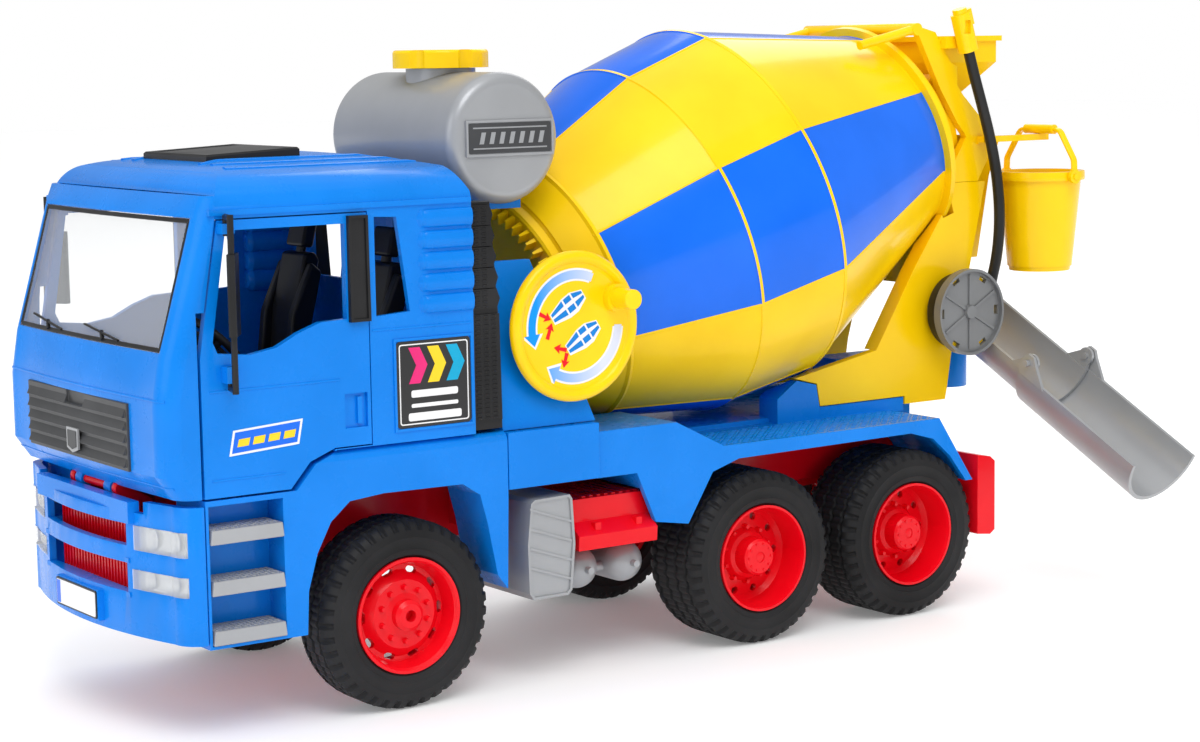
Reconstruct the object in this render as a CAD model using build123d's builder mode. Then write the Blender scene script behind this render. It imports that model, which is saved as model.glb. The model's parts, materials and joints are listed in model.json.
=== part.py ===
from build123d import *
import os
from math import atan2, cos, degrees, radians, sin, tan

# Toy cement mixer lorry, about 1:16, in moulded plastic.
# Millimetres. +X is the vehicle's left, -Y is forward, +Z is up.
# The origin is on the ground, on the centre plane, directly below the front axle.

os.makedirs("parts", exist_ok=True)

# ---------------------------------------------------------------- driving dimensions
half_width = 79.0            # centre plane to the outer face of the body and the tyres
wall = 2.5                   # moulded wall of the large shells

tyre_radius = 40.0
rim_radius = 24.5
front_tyre_width = 27.0
rear_tyre_width = 38.0
axle_radius = 2.5
axle_clearance = 0.05
axle_positions = {"front": 0.0, "mid": 188.2, "rear": 279.0}

rail_x = 27.0                # chassis rail centre
rail_top = 84.0
chassis_front = -96.0
chassis_rear = 332.0

cab_rear = 34.0
cab_floor = 99.5             # underside of the cab ahead of the wheel arch
cab_arch_floor = 113.5       # underside of the cab over the wheel arch
gutter_z = 212.0
roof_z = 231.0
tilt_y = -101.5              # cab tilt axis
tilt_z = 97.5
tilt_pin_radius = 2.0

door_front = -91.6
door_rear = -16.0
door_top = 208.5
door_hinge_x = 77.8
door_hinge_y = -90.2
mirror_x = 81.6
mirror_y = -80.0

drum_tilt = 17.5             # degrees, rear end up
drum_origin = (0.0, 200.0, 187.8)
drum_wall = 2.4
mouth_radius = 38.0

crank_y = 86.0
crank_z = 154.5
crank_disc_radius = 32.5
crown_teeth = 62
pinion_teeth = 16
crown_pitch_radius = 50.0

tank_y = 69.0
tank_z = 235.0
tank_radius = 28.3
tank_half_length = 52.5

support_x = 42.0             # outer face of the rear support's side plates
reel_y = 336.0
reel_z = 141.0
reel_radius = 21.3

chute_y = 372.0              # swivel axis of the chute
chute_level = 152.5          # height of the trough's edges above the swivel axis
chute_heading = 3.4          # degrees from +X towards +Y
chute_pitch = 28.9           # degrees below level
chute_length = 165.0
fold_at = 86.0               # distance of the fold hinge along the chute

bucket_x = 47.0
bucket_y = 393.0

hose_radius = 2.75

SIDES = {"left": 1, "right": -1}


# ---------------------------------------------------------------- helpers
def save(piece, label):
    """Name a finished piece and write it as one STEP file."""
    piece.part.label = label
    export_step(piece.part, f"parts/{label}.step")
    print(f"{label:22s} {piece.part.volume:10.0f} mm3, solids {len(piece.part.solids())}")


def cross_plane(x, side=1):
    """Plane at x whose sketch axes are Y and Z, facing outwards on the given side."""
    if side > 0:
        return Plane(origin=(x, 0, 0), x_dir=(0, 1, 0), z_dir=(1, 0, 0))
    return Plane(origin=(-x, 0, 0), x_dir=(0, -1, 0), z_dir=(-1, 0, 0))


def side_prism(points, x_from, x_to, side=1, inset=0.0):
    """Closed prism of a side-view outline of (y, z) points between two distances from the centre."""
    with BuildPart(mode=Mode.PRIVATE) as prism:
        with BuildSketch(cross_plane(x_from, side)):
            with BuildLine():
                Polyline(*[(y * side, z) for y, z in points], close=True)
            make_face()
            if inset:
                offset(amount=-inset, kind=Kind.INTERSECTION, mode=Mode.REPLACE)
        extrude(amount=x_to - x_from)
    return prism.part


def block(x_range, y_range, z_range):
    """Plain box between two corners, for cuts and small plates."""
    with BuildPart(mode=Mode.PRIVATE) as box:
        with BuildSketch(Plane.XY.offset(z_range[0])):
            with Locations(((x_range[0] + x_range[1]) / 2, (y_range[0] + y_range[1]) / 2)):
                Rectangle(x_range[1] - x_range[0], y_range[1] - y_range[0])
        extrude(amount=z_range[1] - z_range[0])
    return box.part


def rod(start, end, radius):
    """Round bar from one point to another."""
    run = Vector(*end) - Vector(*start)
    with BuildPart(mode=Mode.PRIVATE) as bar:
        with BuildSketch(Plane(origin=start, z_dir=run.normalized())):
            Circle(radius)
        extrude(amount=run.length)
    return bar.part


# ---------------------------------------------------------------- wheels and axles
def wheel_profile_plane(side, y):
    """Plane through a wheel's axis: local X is the radius, local Y points outwards."""
    return Plane(origin=(side * half_width, y, tyre_radius), x_dir=(0, 1, 0), z_dir=(0, 0, -side))


def wheel_face_plane(side, y, depth=0.0):
    """Plane parallel to the wheel's face, a given depth inside it, facing outwards."""
    x = side * (half_width - depth)
    return Plane(origin=(x, y, tyre_radius), x_dir=(0, side, 0), z_dir=(side, 0, 0))


def wheel_axis(side, y):
    return Axis((side * half_width, y, tyre_radius), (side, 0, 0))


def make_tyre(side, y, width):
    with BuildPart() as tyre:
        with BuildSketch(wheel_profile_plane(side, y)):
            with BuildLine():
                Polyline((rim_radius, -2.0), (rim_radius + 1.2, -0.6), (33.0, 0.0))
                ThreePointArc((33.0, 0.0), (36.6, -0.9), (39.0, -3.4))
                Polyline((39.0, -3.4), (tyre_radius, -5.5), (tyre_radius, -width + 5.5), (39.0, -width + 3.4))
                ThreePointArc((39.0, -width + 3.4), (36.6, -width + 0.9), (33.0, -width))
                Polyline((33.0, -width), (rim_radius + 1.2, -width + 0.6), (rim_radius, -width + 2.0))
                Line((rim_radius, -width + 2.0), (rim_radius, -2.0))
            make_face()
        revolve(axis=wheel_axis(side, y))
        # circumferential tread grooves
        groove_count = 3 if width < 30 else 5
        with BuildSketch(wheel_profile_plane(side, y)):
            for i in range(groove_count):
                depth = -width * (i + 1) / (groove_count + 1)
                with Locations((tyre_radius, depth)):
                    Rectangle(2.4, 1.4)
        revolve(axis=wheel_axis(side, y), mode=Mode.SUBTRACT)
    return tyre


def make_front_rim(side, y):
    with BuildPart() as rim:
        with BuildSketch(wheel_profile_plane(side, y)):
            with BuildLine():
                Polyline(
                    (axle_radius, 0.5), (5.0, 0.5), (6.6, -0.8), (6.6, -4.0), (9.0, -4.6), (14.5, -5.0),
                    (18.5, -8.5), (20.5, -8.5), (22.3, -1.6), (23.2, -0.4), (rim_radius, -0.4),
                    (rim_radius, -front_tyre_width + 2.4), (22.5, -front_tyre_width + 2.4),
                    (22.5, -10.5), (17.0, -11.0), (13.0, -7.6), (7.5, -7.6), (7.5, -20.0),
                    (axle_radius, -20.0), close=True,
                )
            make_face()
        revolve(axis=wheel_axis(side, y))
        # ten vent holes in the sloping flange, and ten lug bumps round the hub
        with BuildSketch(wheel_face_plane(side, y, 12.0)):
            with PolarLocations(18.6, 10):
                SlotOverall(5.2, 2.6, rotation=90)
        extrude(amount=9.0, mode=Mode.SUBTRACT)
        with BuildSketch(wheel_face_plane(side, y, 5.4)):
            with PolarLocations(11.4, 10, start_angle=18):
                Circle(1.5)
        extrude(amount=2.6, taper=12)
    return rim


def make_rear_rim(side, y):
    with BuildPart() as rim:
        with BuildSketch(wheel_profile_plane(side, y)):
            with BuildLine():
                Polyline(
                    (axle_radius, -3.4), (7.4, -3.4), (8.4, -4.4), (8.8, -11.0), (10.6, -12.0), (12.6, -15.0),
                    (19.6, -16.2), (21.6, -14.0), (22.9, -2.0), (23.4, -0.4), (rim_radius, -0.4),
                    (rim_radius, -rear_tyre_width + 2.4), (22.3, -rear_tyre_width + 2.4),
                    (22.3, -18.4), (10.0, -18.4), (10.0, -rear_tyre_width + 4.0),
                    (axle_radius, -rear_tyre_width + 4.0), close=True,
                )
            make_face()
        revolve(axis=wheel_axis(side, y))
        # ten round vent holes, ten lug bumps, and small bolts round the hub cap
        with BuildSketch(wheel_face_plane(side, y, 20.0)):
            with PolarLocations(17.6, 10):
                Circle(1.75)
        extrude(amount=8.0, mode=Mode.SUBTRACT)
        with BuildSketch(wheel_face_plane(side, y, 15.6)):
            with PolarLocations(12.8, 10, start_angle=18):
                Circle(1.45)
        extrude(amount=3.2, taper=10)
        with BuildSketch(wheel_face_plane(side, y, 3.5)):
            with PolarLocations(6.3, 10):
                Circle(0.55)
        extrude(amount=0.6)
    return rim


for axle_name, axle_y in axle_positions.items():
    tyre_width = front_tyre_width if axle_name == "front" else rear_tyre_width
    for side_name, side in SIDES.items():
        save(make_tyre(side, axle_y, tyre_width), f"{axle_name}_tyre_{side_name}")
        make_rim = make_front_rim if axle_name == "front" else make_rear_rim
        save(make_rim(side, axle_y), f"{axle_name}_rim_{side_name}")
    end_x = half_width - 4.5
    with BuildPart() as axle:
        with BuildSketch(cross_plane(-end_x)):
            with Locations((axle_y, tyre_radius)):
                Circle(axle_radius)
        extrude(amount=2 * end_x)
    save(axle, f"{axle_name}_axle")


# ---------------------------------------------------------------- chassis
def rail_outline():
    """Side outline of a chassis rail with a hanger below it at each axle."""
    points = [(chassis_front, rail_top), (chassis_front, 60)]
    for y in axle_positions.values():
        points += [(y - 16, 60), (y - 7, 33), (y + 7, 33), (y + 16, 60)]
    points += [(316, 60), (316, rail_top)]
    return points


with BuildPart() as chassis_frame:
    for side in SIDES.values():
        add(side_prism(rail_outline(), rail_x - 2.5, rail_x + 2.5, side))
    # top plate behind the engine bay, and cross members
    add(block((-rail_x, rail_x), (44, 316), (rail_top - 3, rail_top)))
    add(block((-rail_x, rail_x), (chassis_front, -88), (60, rail_top)))
    add(block((-rail_x, rail_x), (96, 104), (60, rail_top)))
    add(block((-rail_x, rail_x), (229, 238), (58, rail_top)))
    # outriggers that carry the front fenders, tanks and boxes
    add(block((-52.4, 52.4), (-57, -50), (57.5, 63.5)))
    add(block((-50, 50), (50, 56), (66, 80)))
    add(block((-45, 45), (84, 128), (64, 72)))
    # cross bar that the bumper bolts to, with an opening for the neck of the radiator
    add(block((-43, 43), (-94, -90), (72, 78)))
    add(block((-14.3, 14.3), (-97, -87), (65.6, 80.4)), mode=Mode.SUBTRACT)
    # inner wheel-arch walls of the rear fenders
    for x_range in ((29.5, 33), (-33, -29.5)):
        add(block(x_range, (150, 316), (64, 84)))
    # rear bumper across the full width
    with BuildSketch(Plane.YZ.offset(-half_width)):
        with BuildLine():
            Polyline((320.6, 35), (329, 34), (chassis_rear, 36), (chassis_rear, 70), (329, 72.5), (320.6, 74), close=True)
        make_face()
    extrude(amount=2 * half_width)
    add(block((-33, 33), (312, 321), (38, 78)))
    # recesses for the lamp panels in the bumper's rear face
    for x in (-54, 54):
        add(block((x - 20, x + 20), (330.5, 333), (44, 64)), mode=Mode.SUBTRACT)
    # front ears and the cab's tilt pin
    ear_outline = [(tilt_y - 2, tilt_z), (tilt_y - 2, 92.5), (-97, 89.6), (-95.6, 89.6), (-95.6, rail_top - 2),
                   (-88, rail_top - 2), (-88, 92), (tilt_y + 2.4, tilt_z + 1)]
    for x_range in ((19, 23), (-23, -19)):
        add(side_prism(ear_outline, x_range[0], x_range[1]))
        add(rod((x_range[0], tilt_y, tilt_z), (x_range[1], tilt_y, tilt_z), 2.9))
    add(rod((-23, tilt_y, tilt_z), (23, tilt_y, tilt_z), tilt_pin_radius))
    # axle bearings
    for axle_y in axle_positions.values():
        bore = rod((-40, axle_y, tyre_radius), (40, axle_y, tyre_radius), axle_radius + axle_clearance)
        add(bore, mode=Mode.SUBTRACT)
save(chassis_frame, "chassis_frame")


# ---------------------------------------------------------------- bumper, lamps, radiator, engine
bumper_top = 96.5
bumper_bottom = 41.0


def bumper_region(inset, z_from, z_to):
    """Solid inside the bumper's plan curve, moved in by an inset, between two heights."""
    side_x = half_width - inset
    with BuildPart(mode=Mode.PRIVATE) as region:
        with BuildSketch(Plane.XY.offset(z_from)):
            with BuildLine():
                ThreePointArc((-68, -101.5 + inset), (0, -111.5 + inset), (68, -101.5 + inset))
                ThreePointArc((68, -101.5 + inset), (76 - inset * 0.8, -98.4 + inset), (side_x, -93.2))
                Polyline((side_x, -93.2), (side_x, -92.2), (-side_x, -92.2), (-side_x, -93.2))
                ThreePointArc((-side_x, -93.2), (-76 + inset * 0.8, -98.4 + inset), (-68, -101.5 + inset))
            make_face()
        extrude(amount=z_to - z_from)
    return region.part


lamp_boxes = []
for side in SIDES.values():
    for x_near, x_far, z_low, z_high in ((45.5, 76.0, 76.5, 86.5), (44.0, 76.0, 60.5, 68.5)):
        low, high = sorted((side * x_near, side * x_far))
        lamp_boxes.append(((low, high), (-120, -96.2), (z_low, z_high)))

with BuildPart() as front_bumper:
    add(bumper_region(0, bumper_bottom, bumper_top))
    add(bumper_region(3.2, bumper_bottom - 1, bumper_top + 1), mode=Mode.SUBTRACT)
    # air slots in front of the radiator
    add(block((-40, 40), (-120, -95), (77.5, 86.5)), mode=Mode.SUBTRACT)
    add(block((-40, 40), (-120, -95), (58.5, 70.5)), mode=Mode.SUBTRACT)
    for lamp_box in lamp_boxes:
        add(block(*lamp_box), mode=Mode.SUBTRACT)
    # recess and step lip at the top centre
    add(block((-52, 52), (-120, -100), (91.5, bumper_top + 1)), mode=Mode.SUBTRACT)
    add(block((-46, 46), (-109.8, -104.8), (87.2, 96.0)))
    # shelves that stiffen the slots, and a boss for a registration plate
    add(block((-42, 42), (-108.4, -104.8), (70.5, 72.5)))
    add(block((-42, 42), (-108.4, -104.8), (86.5, 88.5)))
    add(block((-42, 42), (-108.4, -104.8), (56.5, 58.5)))
    add(block((-21, 21), (-113.2, -107.0), (43.8, 56.5)))
    # mounting arms back to the chassis
    for x_range in ((-43, -39), (39, 43)):
        add(block(x_range, (-106, -94), (72.5, 77.5)))
save(front_bumper, "front_bumper")

def lens(box):
    """Curved lamp lens that follows the bumper's face inside one lamp opening."""
    with BuildPart(mode=Mode.PRIVATE) as piece:
        add(bumper_region(-0.4, bumper_bottom, bumper_top))
        add(bumper_region(2.2, bumper_bottom - 1, bumper_top + 1), mode=Mode.SUBTRACT)
        add(block(*box), mode=Mode.INTERSECT)
    return piece.part


with BuildPart() as headlight_lenses:
    for lamp_box in lamp_boxes:
        add(lens(lamp_box))
save(headlight_lenses, "headlight_lenses")

with BuildPart() as engine_block:
    add(block((-18, 18), (-85, 22), (64, 96)))
    add(block((-13, 13), (-40, 16), (96, 106)))
    add(block((-24.4, 24.4), (-60, -20), (70, 88)))
    # radiator with vertical fins
    add(block((-14, 14), (-96, -85), (66, 80)))
    add(block((-38, 38), (-100.5, -96), (57, 89)))
    for i in range(26):
        x = -37.5 + 3.0 * i
        add(block((x - 0.55, x + 0.55), (-102.2, -100.5), (57, 89)))
save(engine_block, "engine_block")


# ---------------------------------------------------------------- front fenders and steps
fender_outline = [
    (-91.6, 39), (-48, 39), (-47, 57), (-42.5, 72), (-36, 84), (-27, 91.5), (-11, 93), (27, 92.5),
    (35.5, 87), (39, 74), (43.5, 51.5), (48.5, 45), (49.6, 84), (49.6, 112.6), (-31, 112.6),
    (-42, 108.5), (-51, 98.6), (-91.6, 98.6),
]
step_levels = (87.0, 66.5, 46.5)

stairwell = [(-90.4, 40.2), (-57.5, 40.2), (-57.5, 96.4), (-90.4, 96.4)]

with BuildPart() as front_fenders:
    for side in SIDES.values():
        add(side_prism(fender_outline, 52.5, half_width, side))
        # hollow behind the outer skin
        add(side_prism(fender_outline, 52.0, half_width - 3, side, inset=2.2), mode=Mode.SUBTRACT)
        # open stairwell with a back wall
        add(side_prism([(-91, 39.2), (-56, 39.2), (-56, 98), (-91, 98)], 63, half_width - 2, side))
        add(side_prism(stairwell, 65.5, half_width + 1, side), mode=Mode.SUBTRACT)
    edges_top = front_fenders.edges().filter_by(Axis.Y).filter_by(
        lambda e: abs(e.center().X) > half_width - 0.1 and e.center().Z > 112)
    fillet(edges_top, 4.0)
save(front_fenders, "front_fenders")

with BuildPart() as step_treads:
    for side in SIDES.values():
        for level in step_levels:
            tread = [(-90.2, level - 6), (-57.7, level - 6), (-58.4, level), (-89.6, level)]
            add(side_prism(tread, 65.6, half_width + 1.2, side))
save(step_treads, "step_treads")


# ---------------------------------------------------------------- tanks and boxes on the chassis
with BuildPart() as fuel_tanks:
    for side in SIDES.values():
        face = [(59.5, 41), (59, 62), (61, 80), (63, 81.5), (81, 82), (82.3, 80), (83.5, 60), (81.5, 40), (79.5, 38),
                (61.5, 38)]
        add(side_prism(face, 30.0, half_width - 0.8, side))
        # raised rim and diagonal ribs on the outer face
        add(side_prism(face, half_width - 0.8, half_width, side))
        add(side_prism(face, half_width - 0.8, half_width + 1, side, inset=1.2), mode=Mode.SUBTRACT)
        for i in range(4):
            z = 45 + 8.5 * i
            rib = [(60.4, z + 6.6), (82.0, z - 1.0), (82.0, z + 0.1), (60.4, z + 7.7)]
            add(side_prism(rib, half_width - 0.8, half_width - 0.1, side))
save(fuel_tanks, "fuel_tanks")

with BuildPart() as battery_boxes:
    for side in SIDES.values():
        with BuildSketch(Plane.XZ.offset(-86)):
            with BuildLine():
                Polyline((side * 45, 58), (side * 78, 56), (side * 78.6, 62.5), (side * 71, 67.5),
                         (side * 71, 77.5), (side * 33.5, 77.5), (side * 33.5, 72.2), (side * 45, 72.2), close=True)
            make_face()
        extrude(amount=-42)
        # ribs on the lid
        for i in range(8):
            y = 94 + 4.0 * i
            low, high = sorted((side * 40, side * 69))
            add(block((low, high), (y, y + 2), (77.5, 78.2)))
        for y in (96, 118):
            low, high = sorted((side * 73.2, side * 76.5))
            add(block((low, high), (y, y + 3), (64.0, 67.2)))
save(battery_boxes, "battery_boxes")

with BuildPart() as air_tanks:
    for y in (94.5, 119.0):
        with BuildSketch(Plane(origin=(0, y, 45.8), x_dir=(1, 0, 0), z_dir=(0, -1, 0))):
            with BuildLine():
                Line((-72, 0), (72, 0))
                ThreePointArc((72, 0), (69.6, 6.2), (63, 9.4))
                Line((63, 9.4), (-63, 9.4))
                ThreePointArc((-63, 9.4), (-69.6, 6.2), (-72, 0))
            make_face()
        revolve(axis=Axis((0, y, 45.8), (1, 0, 0)))
        for side in SIDES.values():
            add(rod((side * 71, y, 45.8), (side * 75, y, 45.8), 1.6))
    # straps up to the chassis and a pipe between the tanks
    for x in (-40, 34):
        add(block((x, x + 6), (88, 126), (53.5, 64)))
    add(rod((60, 95, 44), (60, 118, 44), 2.2))
    add(rod((-60, 95, 44), (-60, 118, 44), 2.2))
save(air_tanks, "air_tanks")


# ---------------------------------------------------------------- drum axis and the room it needs
axis_y = cos(radians(drum_tilt))
axis_z = sin(radians(drum_tilt))
drum_axis = Axis(drum_origin, (0, axis_y, axis_z))
drum_profile_plane = Plane(origin=drum_origin, x_dir=(0, axis_y, axis_z), z_dir=(1, 0, 0))


def drum_point(along, radius=0.0):
    """Point on the drum's centre plane at a distance along its axis and a radius above it."""
    return (0, drum_origin[1] + along * axis_y - radius * axis_z, drum_origin[2] + along * axis_z + radius * axis_y)


def drum_plane(along):
    """Plane across the drum's axis, facing the rear."""
    return Plane(origin=drum_point(along), x_dir=(1, 0, 0), z_dir=(0, axis_y, axis_z))


shell_stations = [(-82.7, 64.8), (-22.8, 85.5), (24.6, 89.2), (125.3, 53.5)]
flange_radius = 57.5


def drum_envelope(gap):
    """Solid swept by the turning drum, grown by a gap, to cut out of the parts beside it."""
    grown = [(along, radius + gap) for along, radius in shell_stations]
    with BuildPart(mode=Mode.PRIVATE) as envelope:
        with BuildSketch(drum_profile_plane):
            with BuildLine():
                Polyline((-104, 0), (-104, 57 + gap), *grown, (125.3, flange_radius + gap),
                         (132 + gap, flange_radius + gap), (132 + gap, 0), close=True)
            make_face()
        revolve(axis=drum_axis)
    return envelope.part


# ---------------------------------------------------------------- rear deck with fenders
tread_z = 94.2
deck_z = 97.0
rear_fender = [
    (128, 64), (146, 61), (153, 72), (160, 83), (175, 87.5), (279, 88.5), (293, 84.5), (304, 75), (314.2, 62),
    (318.6, 62), (297, tread_z), (166.5, tread_z), (140, 107.5), (96.5, 107.5), (96.5, 87), (118, 87),
]
front_panel = [(50.2, 87.4), (97, 87.4), (97, 111.8), (50.2, 111.8)]

with BuildPart() as rear_deck:
    for side in SIDES.values():
        add(side_prism(front_panel, 33.5, half_width, side))
        add(side_prism([(53, 80), (97, 80), (97, 109), (53, 109)], 33.5, half_width - 3, side), mode=Mode.SUBTRACT)
        add(side_prism(rear_fender, 33.5, half_width - 1.5, side))
        hollow = [(119, 84), (132, 68), (144, 64.5), (158, 84.5), (175, 90.2), (281, 91), (294, 87.5),
                  (305, 77), (315, 62), (309, 50), (144, 50), (100, 50), (90, 84)]
        add(side_prism(hollow, 33.0, half_width - 4.5, side), mode=Mode.SUBTRACT)
        under = [(146, 50), (146, 61), (153, 72), (160, 83), (175, 87.5), (279, 88.5), (293, 84.5), (304, 75),
                 (314.2, 62), (314.2, 50)]
        add(side_prism(under, 33.0, half_width + 1, side), mode=Mode.SUBTRACT)
        # block beside the drum that locates the yellow support
        add(side_prism([(226, 93), (252, 93), (252, 100.2), (250, 111), (238, 114), (226, 106)], 28, 42, side))
        add(side_prism([(250, 93), (306, 93), (306, 100), (250, 100)], 33.0, 41.4, side))
    # room for the ends of the battery boxes and for the turning drum
    add(block((-72.5, 72.5), (112, 128.6), (50, 79)), mode=Mode.SUBTRACT)
    add(drum_envelope(1.5), mode=Mode.SUBTRACT)
    # central spine below the drum, and the tail that carries the chute
    add(block((-35, 35), (97, 316), (rail_top, deck_z - 0.6)))
    add(block((-35, 35), (50.2, 97), (rail_top, 88)))
    add(block((-9, 9), (290, 316), (88, 117)))
    add(block((-9, 9), (300, chute_y), (96, 117)))
    with BuildSketch(Plane.XY.offset(96)):
        with Locations((0, chute_y)):
            Circle(11)
    extrude(amount=21)
    with BuildSketch(Plane.XY.offset(94)):
        with Locations((0, chute_y)):
            Circle(4.05)
    extrude(amount=24, mode=Mode.SUBTRACT)
save(rear_deck, "rear_deck")


# ---------------------------------------------------------------- cab
def cab_front(z):
    """Forward limit of the cab's plan outline at a height."""
    heights = [cab_floor, 109.0, 137.0, 155.0, gutter_z, 234.0]
    fronts = [-103.0, -109.5, -109.5, -106.5, -90.0, -81.0]
    for i in range(len(heights) - 1):
        if z <= heights[i + 1]:
            t = (z - heights[i]) / (heights[i + 1] - heights[i])
            return fronts[i] + t * (fronts[i + 1] - fronts[i])
    return fronts[-1]


def cab_solid(inset, z_floor):
    """Solid cab body, moved in by an inset on every side except the floor."""
    side_x = half_width - inset
    rear = cab_rear - inset
    with BuildPart(mode=Mode.PRIVATE) as body:
        for z in (z_floor, 109.0, 137.0, 155.0, gutter_z, 234.0):
            front = cab_front(z) + inset
            corner = 11.0 if z < gutter_z else 7.0
            with BuildSketch(Plane.XY.offset(z)):
                with BuildLine():
                    Polyline((-side_x, front + corner), (-side_x, rear), (side_x, rear), (side_x, front + corner))
                    ThreePointArc((side_x, front + corner), (side_x - 2.6, front + 3.6),
                                  (side_x - corner, front + 1.2))
                    ThreePointArc((side_x - corner, front + 1.2), (0, front - 0.8), (corner - side_x, front + 1.2))
                    ThreePointArc((corner - side_x, front + 1.2), (2.6 - side_x, front + 3.6),
                                  (-side_x, front + corner))
                make_face()
        loft(ruled=True)
        # rounded roof in front view
        roof = roof_z - inset
        with BuildSketch(Plane.XZ.offset(-60)):
            with BuildLine():
                Polyline((-side_x, gutter_z), (-side_x, z_floor), (side_x, z_floor), (side_x, gutter_z))
                ThreePointArc((side_x, gutter_z), (side_x - 3.6, gutter_z + 8), (side_x - 13, roof - 5.5))
                ThreePointArc((side_x - 13, roof - 5.5), (0, roof), (13 - side_x, roof - 5.5))
                ThreePointArc((13 - side_x, roof - 5.5), (3.6 - side_x, gutter_z + 8), (-side_x, gutter_z))
            make_face()
        extrude(amount=200, mode=Mode.INTERSECT)
        # roof line in side view
        with BuildSketch(Plane.YZ.offset(-90)):
            with BuildLine():
                Polyline((-82 + inset, gutter_z + 6), (-120, gutter_z + 6), (-120, z_floor), (rear, z_floor),
                         (rear, gutter_z + 3), (rear - 6, roof - 5.5))
                ThreePointArc((rear - 6, roof - 5.5), (-20, roof + 1), (-68, roof - 3))
                ThreePointArc((-68, roof - 3), (-77 + inset, roof - 6.5), (-82 + inset, gutter_z + 6))
            make_face()
        extrude(amount=180, mode=Mode.INTERSECT)
    return body.part


door_window = [(-79, 204.5), (-26, 204.5), (-26, 166), (-38, 165.5), (-48, 162), (-58, 157), (-70, 155), (-84, 156.5),
               (-86, 161)]
door_outline = [(door_front, cab_floor), (door_front, 155), (-82.5, door_top), (door_rear, door_top),
                (door_rear, cab_arch_floor + 0.6), (-33, cab_arch_floor + 0.6), (-44.6, 109.6), (-53.6, cab_floor)]
door_opening = [(door_front - 0.7, cab_floor - 1), (door_front - 0.7, 155.2), (-83.3, door_top + 0.6),
                (door_rear + 0.5, door_top + 0.6), (door_rear + 0.5, cab_arch_floor), (-33, cab_arch_floor),
                (-33, 100), (-50, cab_floor - 1)]
arch_clearance = [(-53, 99), (-44, 109), (-32, 113.1), (cab_rear + 5, 113.1), (cab_rear + 5, 90), (-53, 90)]
cab_outer = cab_solid(0, cab_floor)
cab_inner = cab_solid(wall, cab_floor + 3)
door_inner = cab_solid(3.4, cab_floor - 2)
rib_levels = (204.6, 195.8, 187.0, 178.2, 169.4)

with BuildPart() as cab_shell:
    add(cab_outer)
    add(cab_inner, mode=Mode.SUBTRACT)
    # floor step over the wheel arches and the engine
    add(block((-half_width + 1, half_width - 1), (-53, cab_rear - 1), (cab_floor, 116)))
    for side in SIDES.values():
        add(side_prism(arch_clearance, 0, half_width + 1, side), mode=Mode.SUBTRACT)
        add(side_prism(door_opening, half_width - 3.8, half_width + 1, side), mode=Mode.SUBTRACT)
        # the upper part of the opening goes deeper, where the body's corner curves in
        upper_opening = [(door_front - 0.7, 155.2), (-83.3, door_top + 0.6), (-60, door_top + 0.6), (-60, 154)]
        add(side_prism(upper_opening, half_width - 8, half_width + 1, side), mode=Mode.SUBTRACT)
        # room for the door's front edge to swing about its hinge
        hinge_room = rod((side * door_hinge_x, door_hinge_y, 98), (side * door_hinge_x, door_hinge_y, 173), 2.9)
        add(hinge_room, mode=Mode.SUBTRACT)
        # quarter window, in line with the door window
        quarter = [(-12.4, 206.5), (-2, 206), (3.5, 167), (-12.4, 166)]
        add(side_prism(quarter, half_width - 4, half_width + 1, side), mode=Mode.SUBTRACT)
    # engine tunnel
    add(block((-26, 26), (-92, cab_rear + 1), (90, 108)), mode=Mode.SUBTRACT)
    add(block((-28.5, 28.5), (-90, -50), (106, 110.5)))
    for x_range in ((26, 28.5), (-28.5, -26)):
        add(block(x_range, (-90, -50), (cab_floor, 110)))
    # windscreen opening
    glass_zone = block((-70.5, 70.5), (-115, -80), (157.5, 209.5))
    add(glass_zone, mode=Mode.SUBTRACT)
    # grille recess
    add(block((-49.8, 49.8), (-112, -108.4), (108.8, 136.2)), mode=Mode.SUBTRACT)
    # rear wall windows
    for x_range in ((18, 56), (-56, -18)):
        add(block(x_range, (cab_rear - 4, cab_rear + 1), (172, 202)), mode=Mode.SUBTRACT)
    # moulded cushions and the raised frame on the rear quarter
    for side in SIDES.values():
        for rib_z in rib_levels:
            rib_x = side * (half_width - 3.6)
            add(rod((rib_x, 9.6, rib_z), (rib_x, 33.4, rib_z), 5.2))
            with BuildSketch(Plane(origin=(rib_x, 9.6, rib_z), x_dir=(0, 0, 1), z_dir=(0, -1, 0))):
                Circle(5.2)
            extrude(amount=2.0, taper=40)
        frame_outline = [(-5, 117.5), (33.2, 117.5), (33.2, 156), (-5, 156)]
        add(side_prism(frame_outline, half_width - 0.5, half_width + 0.6, side))
        add(side_prism(frame_outline, half_width - 0.1, half_width + 1.6, side, inset=1.1), mode=Mode.SUBTRACT)
        # gutter along the roof
        gutter = [(-86, gutter_z - 1.6), (33.6, gutter_z - 1.6), (33.6, gutter_z + 0.6), (-86, gutter_z + 0.6)]
        add(side_prism(gutter, half_width - 1.5, half_width + 0.8, side))
    # room for the chassis ears, then knuckles that turn on the tilt pin
    for x_range in ((18.4, 23.6), (-23.6, -18.4)):
        add(rod((x_range[0], tilt_y, tilt_z), (x_range[1], tilt_y, tilt_z), 3.6), mode=Mode.SUBTRACT)
        add(block(x_range, (tilt_y, -88), (90, 102)), mode=Mode.SUBTRACT)
    for x_range in ((11, 17.5), (-17.5, -11)):
        add(rod((x_range[0], tilt_y, tilt_z), (x_range[1], tilt_y, tilt_z), 3.0))
        add(block(x_range, (tilt_y, tilt_y + 3), (tilt_z, cab_floor + 4)))
    add(rod((-30, tilt_y, tilt_z), (30, tilt_y, tilt_z), tilt_pin_radius + 0.05), mode=Mode.SUBTRACT)
save(cab_shell, "cab_shell")

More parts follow.
